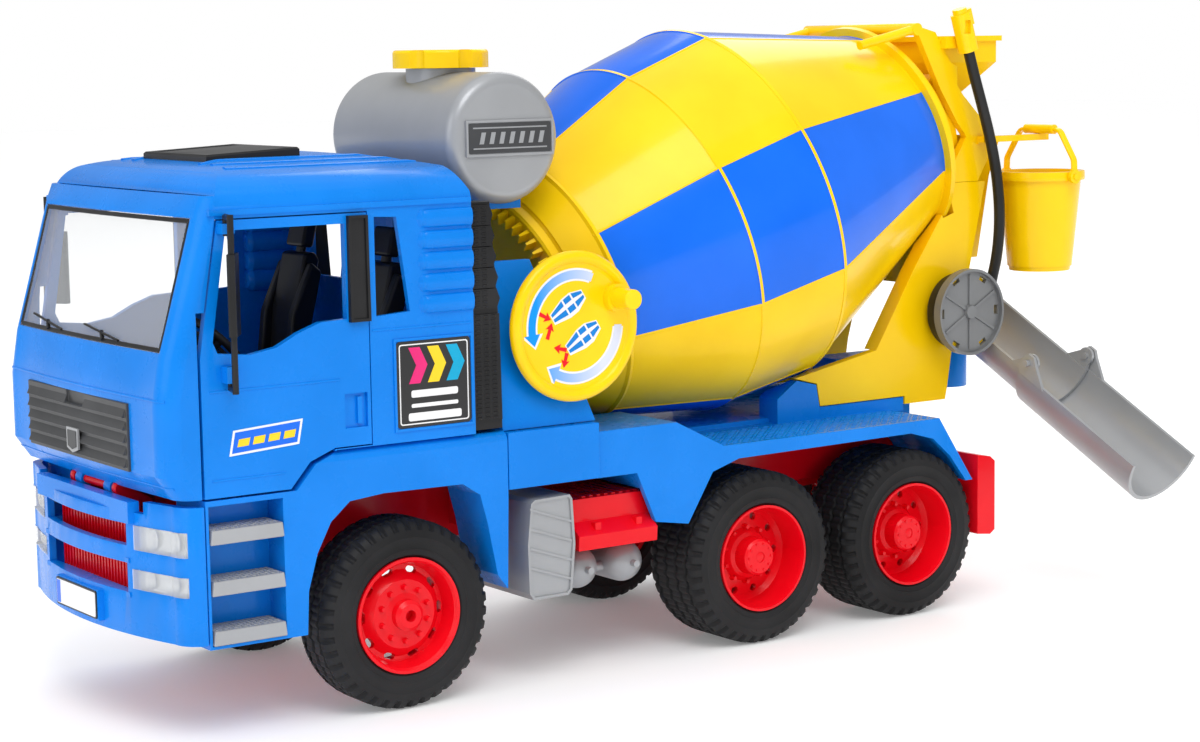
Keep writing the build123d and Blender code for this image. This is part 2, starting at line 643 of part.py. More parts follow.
with BuildPart() as windscreen:
    add(cab_solid(0.3, cab_floor))
    add(cab_solid(2.2, cab_floor - 2), mode=Mode.SUBTRACT)
    add(block((-70.5, 70.5), (-115, -80), (157.5, 209.5)), mode=Mode.INTERSECT)
save(windscreen, "windscreen")

with BuildPart() as grille:
    add(block((-49.8, 49.8), (-110.4, -108.4), (108.8, 136.2)))
    # louvres lean forward at their lower edges
    for i in range(5):
        z = 110.4 + 5.0 * i
        with BuildSketch(Plane.YZ.offset(-48.4)):
            with BuildLine():
                Polyline((-110.3, z), (-111.9, z), (-110.3, z + 3.8), close=True)
            make_face()
        extrude(amount=96.8)
    add(block((-9, 9), (-112, -109.5), (131, 137)), mode=Mode.SUBTRACT)
save(grille, "grille")

with BuildPart() as roof_hatch:
    with BuildSketch(Plane.YZ.offset(-22)):
        with BuildLine():
            Polyline((-80, roof_z - 3.4), (-14, roof_z + 0.2), (-14, roof_z + 2.6), (-77, roof_z + 1.4), close=True)
        make_face()
    extrude(amount=44)
    add(cab_outer, mode=Mode.SUBTRACT)
save(roof_hatch, "roof_hatch")

with BuildPart() as air_intakes:
    for side in SIDES.values():
        strip = [(34.4, 114.2), (48.4, 114.2), (47.6, 160), (44.2, gutter_z - 2), (34.4, gutter_z - 2)]
        add(side_prism(strip, 66, half_width - 1.8, side))
        for i in range(5):
            rear = 43.2 + 0.7 * i
            bump = [(34.4, rib_levels[i] - 4.2), (rear, rib_levels[i] - 4.2), (rear + 1.6, rib_levels[i]),
                    (rear, rib_levels[i] + 4.2), (34.4, rib_levels[i] + 4.2)]
            add(side_prism(bump, 67, half_width - 0.4, side))
        lower = [(34.4, 118), (48, 118), (47.4, 163), (34.4, 163)]
        add(side_prism(lower, 67, half_width - 0.9, side))
save(air_intakes, "air_intakes")

with BuildPart() as dashboard:
    with BuildSketch(Plane.YZ.offset(-72)):
        with BuildLine():
            Polyline((-99, 116.2), (-72, 116.2), (-72, 140), (-82, 152), (-99, 156), close=True)
        make_face()
    extrude(amount=144)
    add(cab_solid(wall, cab_floor), mode=Mode.INTERSECT)
    # steering column, leaning towards the driver on the left
    add(rod((38, -84, 138), (38, -68, 154), 4.0))
    add(rod((38, -84, 138), (38, -60, 162), 1.55), mode=Mode.SUBTRACT)
save(dashboard, "dashboard")

with BuildPart() as steering_wheel:
    hub = Plane(origin=(38, -66, 156), x_dir=(1, 0, 0), z_dir=(0, 1, 1))
    with BuildSketch(Plane(origin=(38, -66, 156), x_dir=(1, 0, 0), z_dir=(0, 1, -1))):
        with Locations((14.5, 0)):
            Circle(1.7)
    revolve(axis=Axis((38, -66, 156), (0, 1, 1)))
    with BuildSketch(hub):
        Circle(3.4)
    extrude(amount=2.0, both=True)
    for i in range(3):
        with BuildSketch(hub):
            with Locations(Location((0, 0), 90 + 120 * i)):
                with Locations((8.2, 0)):
                    Rectangle(14.0, 2.6)
        extrude(amount=0.8, both=True)
    add(rod((38, -66, 156), (38, -80, 142), 1.5))
save(steering_wheel, "steering_wheel")

with BuildPart() as seats:
    for x in (-38, 38):
        add(side_prism([(-34, 116.2), (4, 116.2), (8, 130), (-2, 137), (-36, 137)], x - 17, x + 17))
        add(side_prism([(-8, 131), (8, 130), (20, 184), (10, 186), (2, 160)], x - 16, x + 16))
        add(side_prism([(11, 184), (19, 182), (22.5, 199), (15.5, 200)], x - 9, x + 9))
save(seats, "seats")

for side_name, side in SIDES.items():
    with BuildPart() as door:
        add(side_prism(door_outline, half_width - 8, half_width + 1, side))
        add(cab_outer, mode=Mode.INTERSECT)
        add(door_inner, mode=Mode.SUBTRACT)
        add(side_prism(door_window, half_width - 8, half_width + 2, side), mode=Mode.SUBTRACT)
        # recessed handle and the crease along the door
        add(side_prism([(-28, 121.5), (-17.5, 121.5), (-17.5, 135.5), (-28, 135.5)], half_width - 1.6,
                       half_width + 1, side), mode=Mode.SUBTRACT)
        add(side_prism([(-22, 123), (-20, 123), (-20, 134), (-22, 134)], half_width - 2, half_width - 0.2, side))
        # hinge knuckles at the front edge
        for z_low in (108, 140):
            add(rod((side * door_hinge_x, door_hinge_y, z_low), (side * door_hinge_x, door_hinge_y, z_low + 9), 1.2))
        # mirror brackets
        for z_low, z_high in ((145, 151.5), (203.5, 207.5)):
            bracket = [(mirror_y - 2.6, z_low), (mirror_y + 2.6, z_low), (mirror_y + 2.6, z_high),
                       (mirror_y - 2.6, z_high)]
            add(side_prism(bracket, half_width - 2, mirror_x + 2.4, side))
            bracket_bore = rod((side * mirror_x, mirror_y, z_low - 2), (side * mirror_x, mirror_y, z_high + 2), 1.25)
            add(bracket_bore, mode=Mode.SUBTRACT)
    save(door, f"door_{side_name}")

    with BuildPart() as pillar_trim:
        bar = [(-25.2, 164.6), (door_rear, 164.6), (door_rear - 0.4, 207.6), (-25.2, 207.6)]
        add(side_prism(bar, half_width, half_width + 2.4, side))
        add(side_prism(bar, half_width + 1.6, half_width + 3, side, inset=1.2), mode=Mode.SUBTRACT)
    save(pillar_trim, f"pillar_trim_{side_name}")

    with BuildPart() as mirror:
        outer_x = side * 89.6
        hinge_x = side * mirror_x
        add(rod((hinge_x, mirror_y, 142.2), (hinge_x, mirror_y, 151.4), 1.2))
        add(rod((hinge_x, mirror_y, 202.6), (hinge_x, mirror_y, 210.8), 1.2))
        add(rod((hinge_x, mirror_y, 142.8), (outer_x, mirror_y - 2, 142.8), 1.3))
        add(rod((hinge_x, mirror_y, 210.0), (outer_x, mirror_y - 2, 210.0), 1.3))
        add(rod((outer_x, mirror_y - 2, 141.5), (outer_x, mirror_y - 2, 211.3), 1.3))
        # slim head set across the line of sight, glass facing back and outwards
        with BuildSketch(Plane(origin=(outer_x, mirror_y - 2, 164), x_dir=(-0.82 * side, 0.57, 0), z_dir=(0, 0, 1))):
            with Locations((3.4, 0)):
                RectangleRounded(12.5, 3.4, 1.3)
        extrude(amount=32)
    save(mirror, f"mirror_{side_name}")


# ---------------------------------------------------------------- drum and its drive
with BuildPart() as drum_shell:
    # three conical bands between a front disc and the mouth
    inner_skin = [(along, radius - drum_wall) for along, radius in reversed(shell_stations)]
    with BuildSketch(drum_profile_plane):
        with BuildLine():
            Polyline((-100, 6), (-100, 46), (-97, 56.5), (-84, 63.6), *shell_stations, (126, flange_radius),
                     (128.6, flange_radius), (129.4, 55), (131.5, 55), (131.5, mouth_radius), (150, mouth_radius),
                     (150, mouth_radius - 2.4), (126, mouth_radius - 2.4), *inner_skin, (-97.4, 54.0), (-97.4, 6),
                     close=True)
        make_face()
    revolve(axis=drum_axis)
    # front trunnion
    with BuildSketch(drum_plane(-150)):
        Circle(6)
    extrude(amount=52.6)
save(drum_shell, "drum_shell")

with BuildPart() as drum_blades:
    # paddles on two helices, trimmed to the inside of the shell
    for i in range(16):
        along = -78 + 12.4 * i
        for start in (0, 180):
            turn = start + 34 * i
            with BuildSketch(drum_plane(along).rotated((0, 0, turn))):
                with Locations((70, 0)):
                    Rectangle(62, 34)
            extrude(amount=2.4)
    with BuildSketch(drum_profile_plane):
        with BuildLine():
            Polyline((-80, 46), (-80, 64.0), (-22.8, 84.1), (24.6, 87.8), (122, 53.2), (122, 40), (24.6, 66),
                     (-22.8, 64), close=True)
        make_face()
    revolve(axis=drum_axis, mode=Mode.INTERSECT)
    add(drum_shell.part, mode=Mode.SUBTRACT)
save(drum_blades, "drum_blades")

# crown gear on the front of the drum, teeth facing forward
crank_offset = (crank_z - drum_origin[2] - (crank_y - drum_origin[1]) * tan(radians(drum_tilt))) * axis_y
mesh_angle = degrees(atan2(crank_offset, crown_pitch_radius))
crown_step = 360 / crown_teeth

with BuildPart() as crown_gear:
    with BuildSketch(drum_profile_plane):
        with BuildLine():
            Polyline((-103, 43.5), (-103, 54), (-102, 55), (-98.2, 55), (-97.6, 56.2), (-100, 46), (-100, 43.5),
                     close=True)
        make_face()
    revolve(axis=drum_axis)
    tooth_base = drum_plane(-102.5)
    with BuildSketch(Plane(origin=tooth_base.origin, x_dir=(1, 0, 0), z_dir=(0, -axis_y, -axis_z))):
        with PolarLocations(49.6, crown_teeth, start_angle=-mesh_angle + crown_step / 2):
            Rectangle(5.8, 2.1)
    extrude(amount=5.5, taper=5.5)
save(crown_gear, "crown_gear")


def crank_level(x):
    return Plane(origin=(x, crank_y, crank_z), x_dir=(0, axis_y, axis_z), z_dir=(1, 0, 0))


with BuildPart() as drive_pinion:
    with BuildSketch(crank_level(47)):
        Circle(10.2)
        with PolarLocations(0, pinion_teeth):
            with BuildLine():
                Polyline((9.6, -1.15), (14.3, -0.42), (14.3, 0.42), (9.6, 1.15), close=True)
            make_face()
    extrude(amount=6)
    with BuildSketch(crank_level(43)):
        Circle(4)
    extrude(amount=33.4)
save(drive_pinion, "drive_pinion")

knob_y = 21.0
knob_z = 11.0
knob = Vector(0, crank_y + knob_y, crank_z + knob_z)

with BuildPart() as crank_disc:
    with BuildSketch(Plane(origin=(77, crank_y, crank_z), x_dir=(0, 1, 0), z_dir=(0, 0, -1))):
        with BuildLine():
            Polyline((0, -0.6), (28.8, -0.6), (29.4, -1.6), (31.6, -1.6), (crank_disc_radius, -0.8))
            ThreePointArc((crank_disc_radius, -0.8), (32.0, 1.9), (30.0, 3.0))
            ThreePointArc((30.0, 3.0), (28.2, 2.4), (27.2, 1.3))
            Polyline((27.2, 1.3), (26.2, 1.0), (0, 1.0), (0, -0.6))
        make_face()
    revolve(axis=Axis((77, crank_y, crank_z), (1, 0, 0)))
    add(rod((77, knob.Y, knob.Z), (81.6, knob.Y, knob.Z), 6.2))
    add(rod((70, knob.Y, knob.Z), (90, knob.Y, knob.Z), 2.0), mode=Mode.SUBTRACT)
save(crank_disc, "crank_disc")

with BuildPart() as crank_knob:
    with BuildSketch(Plane(origin=(81.6, knob.Y, knob.Z), x_dir=(0, 1, 0), z_dir=(1, 0, 0))):
        Circle(4.7)
    extrude(amount=10.9, taper=1.5)
    add(rod((77, knob.Y, knob.Z), (82, knob.Y, knob.Z), 2.0))
    fillet(crank_knob.faces().sort_by(Axis.X)[-1].edges(), 0.9)
save(crank_knob, "crank_knob")

with BuildPart() as drive_bracket:
    for x_wide, x_top, y_front, y_low, y_high, z_low, z_high, mode in (
        (74.8, 60, 50.2, 98, 75, 112.2, 183, Mode.ADD),
        (71.6, 56.8, 53.4, 130, 130, 112.1, 183.1, Mode.SUBTRACT),
    ):
        with BuildSketch(Plane.XY.offset(z_low)):
            with Locations((0, (y_front + y_low) / 2)):
                Rectangle(2 * x_wide, y_low - y_front)
        with BuildSketch(Plane.XY.offset(z_high)):
            with Locations((0, (y_front + y_high) / 2)):
                Rectangle(2 * x_top, y_high - y_front)
        loft(mode=mode)
    # deck flange and the posts that carry the water tank
    add(block((-72, 72), (50.4, 60), (112.0, 115)))
    for x in (-40, 34):
        add(block((x, x + 6), (50.2, 56), (150, 212)))
        add(block((x, x + 6), (52, 84), (204, 214)))
    tank_bore = rod((-80, tank_y, tank_z), (80, tank_y, tank_z), tank_radius)
    add(tank_bore, mode=Mode.SUBTRACT)
    # boss for the drum's front trunnion
    with BuildSketch(drum_plane(-155)):
        Circle(10.5)
    extrude(amount=19)
    add(block((-60, 60), (30, 50.2), (100, 200)), mode=Mode.SUBTRACT)
    with BuildSketch(drum_plane(-152)):
        Circle(6.06)
    extrude(amount=30, mode=Mode.SUBTRACT)
    # bearing bosses for the crank shaft
    add(rod((56, crank_y, crank_z), (72, crank_y, crank_z), 7.5))
    add(rod((40, crank_y, crank_z), (80, crank_y, crank_z), 4.06), mode=Mode.SUBTRACT)
save(drive_bracket, "drive_bracket")


# ---------------------------------------------------------------- water tank
with BuildPart() as water_tank:
    with BuildSketch(Plane(origin=(0, tank_y, tank_z), x_dir=(1, 0, 0), z_dir=(0, -1, 0))):
        with BuildLine():
            Polyline((-tank_half_length, 0), (tank_half_length, 0), (tank_half_length, tank_radius - 5))
            ThreePointArc((tank_half_length, tank_radius - 5), (tank_half_length - 1.5, tank_radius - 1.5),
                          (tank_half_length - 5, tank_radius))
            Line((tank_half_length - 5, tank_radius), (5 - tank_half_length, tank_radius))
            ThreePointArc((5 - tank_half_length, tank_radius), (1.5 - tank_half_length, tank_radius - 1.5),
                          (-tank_half_length, tank_radius - 5))
            Line((-tank_half_length, tank_radius - 5), (-tank_half_length, 0))
        make_face()
    revolve(axis=Axis((0, tank_y, tank_z), (1, 0, 0)))
    # filler neck
    with BuildSketch(Plane.XY.offset(tank_z)):
        with Locations((0, tank_y)):
            Circle(15.5)
    extrude(amount=30)
    # hollow
    inside_end = tank_half_length - 2.5
    add(rod((-inside_end, tank_y, tank_z), (inside_end, tank_y, tank_z), tank_radius - 2.5), mode=Mode.SUBTRACT)
    with BuildSketch(Plane.XY.offset(tank_z)):
        with Locations((0, tank_y)):
            Circle(13)
    extrude(amount=40, mode=Mode.SUBTRACT)
    # framed plate on each end
    plate = [(48.5, 227.5), (93, 227.5), (93, 243), (48.5, 243)]
    for side in SIDES.values():
        add(side_prism(plate, tank_half_length - 0.5, tank_half_length + 1.0, side))
        add(side_prism(plate, tank_half_length + 0.4, tank_half_length + 2.0, side, inset=1.0), mode=Mode.SUBTRACT)
save(water_tank, "water_tank")

with BuildPart() as tank_cap:
    with BuildSketch(Plane.XY.offset(265.2)):
        with Locations((0, tank_y)):
            Circle(21.5)
    extrude(amount=8)
    fillet(tank_cap.edges().sort_by(Axis.Z)[-1], 1.6)
    with BuildSketch(Plane.XY.offset(258)):
        with Locations((0, tank_y)):
            Circle(12.9)
    extrude(amount=7.4)
    # finger scallops
    with BuildSketch(Plane.XY.offset(264)):
        with Locations((0, tank_y)):
            with PolarLocations(24.6, 6):
                Circle(5.0)
    extrude(amount=12, mode=Mode.SUBTRACT)
save(tank_cap, "tank_cap")


# ---------------------------------------------------------------- rear support and hopper
leg_outline = [
    (252.4, 100.4), (250.4, 111.4), (236.5, 115), (288, 124.5), (312, 162), (335, 194), (338, 204), (360, 204),
    (349.5, 161), (337.5, 120), (334.5, 102), (333.2, 96.4), (306.4, 96.4), (306.4, 100.4),
]

with BuildPart() as rear_support:
    for side in SIDES.values():
        add(side_prism(leg_outline, support_x - 5, support_x, side))
        # inward flange along the leg's front edge
        flange = [(288, 124.5), (312, 162), (335, 194), (338.2, 194), (315, 162), (291.5, 124.5)]
        add(side_prism(flange, support_x - 9, support_x, side))
        # foot that stands on the deck
        low, high = sorted((side * (support_x - 13), side * support_x))
        add(block((low, high), (308, 333), (96.4, 101)))
    # cross plate between the legs, below the mouth of the drum
    add(side_prism([(344, 178), (350, 178), (343.5, 152), (338, 152)], -support_x + 2, support_x - 2))
    add(side_prism([(310, 96.4), (330, 96.4), (330, 101), (310, 101)], -support_x + 2, support_x - 2))
    add(block((-9, 9), (300, 340), (90, 117)), mode=Mode.SUBTRACT)
    # spindle bearing for the hose reel
    add(rod((support_x - 5, reel_y, reel_z), (support_x + 1.6, reel_y, reel_z), 6.0))
    add(rod((support_x - 12, reel_y, reel_z), (support_x + 8, reel_y, reel_z), 3.05), mode=Mode.SUBTRACT)
    # keep clear of the turning drum and of the ring that carries its mouth
    add(drum_envelope(0.8), mode=Mode.SUBTRACT)
    with BuildSketch(drum_plane(133.4)):
        Circle(46.1)
    extrude(amount=6.3, mode=Mode.SUBTRACT)
save(rear_support, "rear_support")

cheek_outline = [
    (313, 281.5), (326.5, 278), (333, 268), (337, 263), (341, 261), (341, 252), (345, 247), (367, 226), (366, 222),
    (355, 204.2), (338.5, 204.2), (339, 214), (347, 226), (346, 228), (341.5, 233), (330, 250),
]


def funnel(sections):
    """Loft through rectangles given as (x half width, y low, y high, z)."""
    with BuildPart(mode=Mode.PRIVATE) as shape:
        for x_half, y_low, y_high, z in sections:
            with BuildSketch(Plane.XY.offset(z)):
                with Locations((0, (y_low + y_high) / 2)):
                    Rectangle(2 * x_half, y_high - y_low)
        loft(ruled=True)
    return shape.part


with BuildPart() as hopper:
    # ring that carries the drum's mouth
    with BuildSketch(drum_plane(133.5)):
        Circle(46)
        Circle(mouth_radius + 0.08, mode=Mode.SUBTRACT)
    extrude(amount=6)
    for side in SIDES.values():
        add(side_prism(cheek_outline, support_x - 4, support_x, side))
    # guard bars over the top of the drum
    add(rod((-support_x, 315, 279.5), (support_x, 315, 279.5), 3.0))
    for side in SIDES.values():
        bar_x = side * (support_x - 2.7)
        add(rod((bar_x, 315, 279.5), (bar_x, 280, 272), 2.2))
    # discharge funnel under the mouth
    add(funnel([(13, 363, 382, 163), (30, 352, 374, 206), (40, 350, 372, 226)]))
    add(funnel([(11, 365, 380, 162), (28, 354, 372, 206), (38, 340, 370, 226.1)]), mode=Mode.SUBTRACT)
    # filling hopper with a rim
    add(funnel([(17, 337, 351, 238), (40, 331, 369, 263), (40, 331, 369, 276)]))
    with BuildSketch(Plane.XY.offset(273.4)):
        with Locations((0, 350)):
            Rectangle(84, 42)
    extrude(amount=2.6)
    add(funnel([(15, 330, 348.6, 237), (38, 333, 367, 263), (38, 333, 367, 277)]), mode=Mode.SUBTRACT)
    # clear the turning mouth tube and the rear flange of the drum
    with BuildSketch(drum_plane(120)):
        Circle(mouth_radius + 0.08)
    extrude(amount=31, mode=Mode.SUBTRACT)
    with BuildSketch(drum_plane(110)):
        Circle(58.2)
    extrude(amount=22.3, mode=Mode.SUBTRACT)
    # clip arm for the hose nozzle
    add(block((support_x - 1, 46), (330, 345), (270, 276)))
    # hook for the bucket
    add(block((support_x - 3, 43.4), (354, 366), (222.6, 226.4)))
    add(block((43.2, 47.4), (354, 398.6), (223.4, 226.4)))
    add(block((43.2, 47.4), (396.2, 398.6), (223.4, 229.8)))
save(hopper, "hopper")


# ---------------------------------------------------------------- hose reel, hose and nozzle
with BuildPart() as hose_reel:
    with BuildSketch(Plane(origin=(54, reel_y, reel_z), x_dir=(0, 1, 0), z_dir=(0, 0, -1))):
        with BuildLine():
            Polyline((0, 0), (reel_radius, 0), (reel_radius, 4.6), (reel_radius - 1.3, 4.6), (reel_radius - 1.3, 2.4),
                     (3.6, 2.4), (3.2, 4.4), (0, 4.4), close=True)
        make_face()
    revolve(axis=Axis((54, reel_y, reel_z), (1, 0, 0)))
    # six windows at the rim and six raised spokes
    with BuildSketch(Plane(origin=(53, reel_y, reel_z), x_dir=(0, 1, 0), z_dir=(1, 0, 0))):
        with PolarLocations(17.8, 6, start_angle=0):
            Rectangle(2.4, 4.6)
    extrude(amount=6, mode=Mode.SUBTRACT)
    with BuildSketch(Plane(origin=(56, reel_y, reel_z), x_dir=(0, 1, 0), z_dir=(1, 0, 0))):
        with PolarLocations(11, 6, start_angle=30):
            Rectangle(15, 1.3)
    extrude(amount=1.2)
    add(rod((36, reel_y, reel_z), (54, reel_y, reel_z), 3.0))
save(hose_reel, "hose_reel")

with BuildPart() as reel_spool:
    with BuildSketch(Plane(origin=(44, reel_y, reel_z), x_dir=(0, 1, 0), z_dir=(0, 0, -1))):
        with BuildLine():
            Polyline((3, 0), (12.6, 0), (12.6, 9.2), (19.0, 9.2), (19.0, 10), (3, 10), close=True)
        make_face()
    revolve(axis=Axis((44, reel_y, reel_z), (1, 0, 0)))
save(reel_spool, "reel_spool")

coil_x = 48.6
coil_radius = 15.9           # middle of the outer turn
nozzle_top = (50.4, 334.4, 288.6)
nozzle_mouth = (50.4, 340.6, 268.6)
nozzle_run = Vector(*nozzle_mouth) - Vector(*nozzle_top)
# the hose hangs from the nozzle in a long bow and runs down onto the reel
hose_route = [
    nozzle_mouth,
    tuple(Vector(*nozzle_mouth) + nozzle_run * 0.484),
    (50.6, 348.8, 244.0),
    (50.8, 354.9, 226.0),
    (51.0, 359.6, 206.5),
    (51.0, 361.7, 186.0),
    (50.6, 360.2, 167.0),
    (49.6, 356.6, 152.5),
    (48.6, 354.8, reel_z),
]


with BuildPart() as hose_coil:
    with BuildSketch(Plane(origin=(coil_x, reel_y, reel_z), x_dir=(0, 1, 0), z_dir=(0, 0, -1))):
        with Locations((coil_radius, 0)):
            RectangleRounded(5.6, 8.2, 2.7)
    revolve(axis=Axis((coil_x, reel_y, reel_z), (1, 0, 0)))
    # seat for the end of the hanging stretch
    add(rod(hose_route[-1], hose_route[-2], hose_radius + 0.1), mode=Mode.SUBTRACT)
save(hose_coil, "hose_coil")

def corner_radii(route):
    """Largest arc at each corner that its two runs leave room for."""
    radii = []
    for before, corner, after in zip(route, route[1:], route[2:]):
        run_in = Vector(*corner) - Vector(*before)
        run_out = Vector(*after) - Vector(*corner)
        turn = radians(run_in.get_angle(run_out))
        radii.append(0.45 * min(run_in.length, run_out.length) / tan(turn / 2))
    return radii


hose_radii = corner_radii(hose_route)
with BuildPart() as hose:
    with BuildLine() as hose_path:
        FilletPolyline(*hose_route, radius=hose_radii)
    start_run = Vector(*hose_route[1]) - Vector(*hose_route[0])
    with BuildSketch(Plane(origin=hose_route[0], z_dir=start_run.normalized())):
        Circle(hose_radius)
    sweep(path=hose_path.wires()[0])
save(hose, "hose")

with BuildPart() as hose_nozzle:
    nozzle_plane = Plane(origin=nozzle_mouth, x_dir=(1, 0, 0), z_dir=(-nozzle_run).normalized())
    with BuildSketch(nozzle_plane):
        RectangleRounded(8.6, 9.2, 3.4)
    extrude(amount=19)
    with BuildSketch(nozzle_plane.offset(19)):
        RectangleRounded(6.2, 6.6, 2.4)
    extrude(amount=2.4)
    # thumb lever and its window
    with BuildSketch(nozzle_plane.offset(12)):
        with Locations((0, 4.4)):
            RectangleRounded(4.0, 4.4, 1.2)
    extrude(amount=8)
    add(block((52.8, 56), (334.4, 338.2), (277.0, 283.5)), mode=Mode.SUBTRACT)
save(hose_nozzle, "hose_nozzle")


# ---------------------------------------------------------------- chute
heading = radians(chute_heading)
pitch = radians(chute_pitch)
chute_dir = Vector(cos(heading) * cos(pitch), sin(heading) * cos(pitch), -sin(pitch))
chute_side = Vector(-sin(heading), cos(heading), 0)
chute_up = chute_dir.cross(chute_side)
chute_origin = Vector(0, chute_y, chute_level)
trough_radius = 20.6
lower_radius = 22.8


def chute_point(along, across, above):
    return chute_origin + chute_dir * along + chute_side * across + chute_up * above


def trough_section(along, outer, inner):
    """Half-ring trough section across the chute, edges level with its axis."""
    plane = Plane(origin=chute_point(along, 0, 0), x_dir=chute_side, z_dir=chute_dir)
    with BuildSketch(plane, mode=Mode.PRIVATE) as section:
        Circle(outer)
        Circle(inner, mode=Mode.SUBTRACT)
        with Locations((0, -outer if plane.y_dir.dot(chute_up) < 0 else outer)):
            Rectangle(3 * outer, 2 * outer, mode=Mode.SUBTRACT)
    return section.sketch


def chute_bar(start, end, radius):
    return rod(tuple(chute_point(*start)), tuple(chute_point(*end)), radius)


tilt_above = -9.0

with BuildPart() as chute_upper:
    add(trough_section(-15, trough_radius, trough_radius - 1.9))
    extrude(amount=fold_at + 19, dir=chute_dir)
    for across in (1, -1):
        add(chute_bar((0, across * 17.6, tilt_above), (0, across * 26.8, tilt_above), 3.0))
        # ear that carries the fold hinge
        add(chute_bar((fold_at, across * 19.2, 6), (fold_at, across * 20.8, 6), 4.2))
        with BuildSketch(Plane(origin=chute_point(fold_at - 12, across * 20.0, -1), x_dir=chute_dir,
                               z_dir=-chute_side)):
            with BuildLine():
                Polyline((0, 0), (16, 0), (14.5, 8), (10.5, 10.4), close=True)
            make_face()
        extrude(amount=0.8, both=True)
        add(chute_bar((fold_at, across * 18, 6), (fold_at, across * 25.6, 6), 1.6))
    # the trough's upper half stays open above the edges
save(chute_upper, "chute_upper")

with BuildPart() as chute_lower:
    add(trough_section(fold_at - 3, lower_radius, lower_radius - 1.9))
    extrude(amount=chute_length - fold_at + 3, dir=chute_dir)
    for across in (1, -1):
        with BuildSketch(Plane(origin=chute_point(fold_at - 4.4, across * 22.4, -1), x_dir=chute_dir,
                               z_dir=-chute_side)):
            with BuildLine():
                Polyline((0, 3), (0, 8), (2.4, 11.2), (6.4, 11.2), (9.0, 8.4), (19, 0), (2, 0), close=True)
            make_face()
        extrude(amount=0.9, both=True)
        add(chute_bar((fold_at, across * 18, 6), (fold_at, across * 26, 6), 1.66), mode=Mode.SUBTRACT)
save(chute_lower, "chute_lower")

with BuildPart() as chute_bracket:
    # swivel pin, base disc and a yoke with the tilt bores
    add(rod((0, chute_y, 95.2), (0, chute_y, 118), 4.0))
    add(rod((0, chute_y, 117.4), (0, chute_y, 121), 12.0))
    yoke_plane = Plane(origin=(0, chute_y, 117.4), x_dir=(cos(heading), sin(heading), 0), z_dir=(0, 0, 1))
    with BuildSketch(yoke_plane):
        Rectangle(13, 54)
    extrude(amount=3.4)
    for across in (1, -1):
        with BuildSketch(yoke_plane):
            with Locations((0, across * 24.8)):
                Rectangle(13, 4.4)
        extrude(amount=27)
        ear_start = chute_origin + chute_side * (across * 22.6) + Vector(0, 0, tilt_above * cos(pitch))
        ear_end = chute_origin + chute_side * (across * 27.0) + Vector(0, 0, tilt_above * cos(pitch))
        tilt_shift = chute_up * tilt_above - Vector(0, 0, tilt_above * cos(pitch))
        add(rod(tuple(ear_start + tilt_shift), tuple(ear_end + tilt_shift), 6.4))
    add(chute_bar((0, -30, tilt_above), (0, 30, tilt_above), 3.05), mode=Mode.SUBTRACT)
save(chute_bracket, "chute_bracket")


# ---------------------------------------------------------------- bucket
with BuildPart() as bucket:
    with BuildSketch(Plane(origin=(bucket_x, bucket_y, 158), x_dir=(1, 0, 0), z_dir=(0, -1, 0))):
        with BuildLine():
            Polyline((0, 0), (15.2, 0), (15.6, 2.2), (16.2, 2.2), (20.4, 45.6), (22.2, 45.6), (22.4, 47), (22.2, 50),
                     (19.0, 50), (15.0, 2.6), (0, 2.6), close=True)
        make_face()
    revolve(axis=Axis((bucket_x, bucket_y, 158), (0, 0, 1)))
    # pivot studs for the handle
    for side in SIDES.values():
        add(rod((bucket_x + side * 22.0, bucket_y, 205.6), (bucket_x + side * 25.6, bucket_y, 205.6), 1.5))
save(bucket, "bucket")

with BuildPart() as bucket_handle:
    grip_z = 228.9
    handle_route = [
        (bucket_x - 24.0, bucket_y, 205.6), (bucket_x - 23.6, bucket_y, 214), (bucket_x - 13.5, bucket_y, grip_z),
        (bucket_x + 13.5, bucket_y, grip_z), (bucket_x + 23.6, bucket_y, 214), (bucket_x + 24.0, bucket_y, 205.6),
    ]
    with BuildLine() as handle_path:
        FilletPolyline(*handle_route, radius=5)
    with BuildSketch(Plane(origin=handle_route[0], z_dir=(0.4, 0, 8.4))):
        RectangleRounded(1.7, 3.6, 0.7)
    sweep(path=handle_path.wires()[0])
    add(rod((bucket_x - 10, bucket_y, grip_z), (bucket_x + 10, bucket_y, grip_z), 2.4))
    for side in SIDES.values():
        add(rod((bucket_x + side * 23.0, bucket_y, 205.6), (bucket_x + side * 25.0, bucket_y, 205.6), 3.4))
        add(rod((bucket_x + side * 22.0, bucket_y, 205.6), (bucket_x + side * 26.4, bucket_y, 205.6), 1.56),
            mode=Mode.SUBTRACT)
save(bucket_handle, "bucket_handle")
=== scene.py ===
import json
import math

import bmesh
import bpy
from mathutils import Matrix, Vector
from mathutils.bvhtree import BVHTree


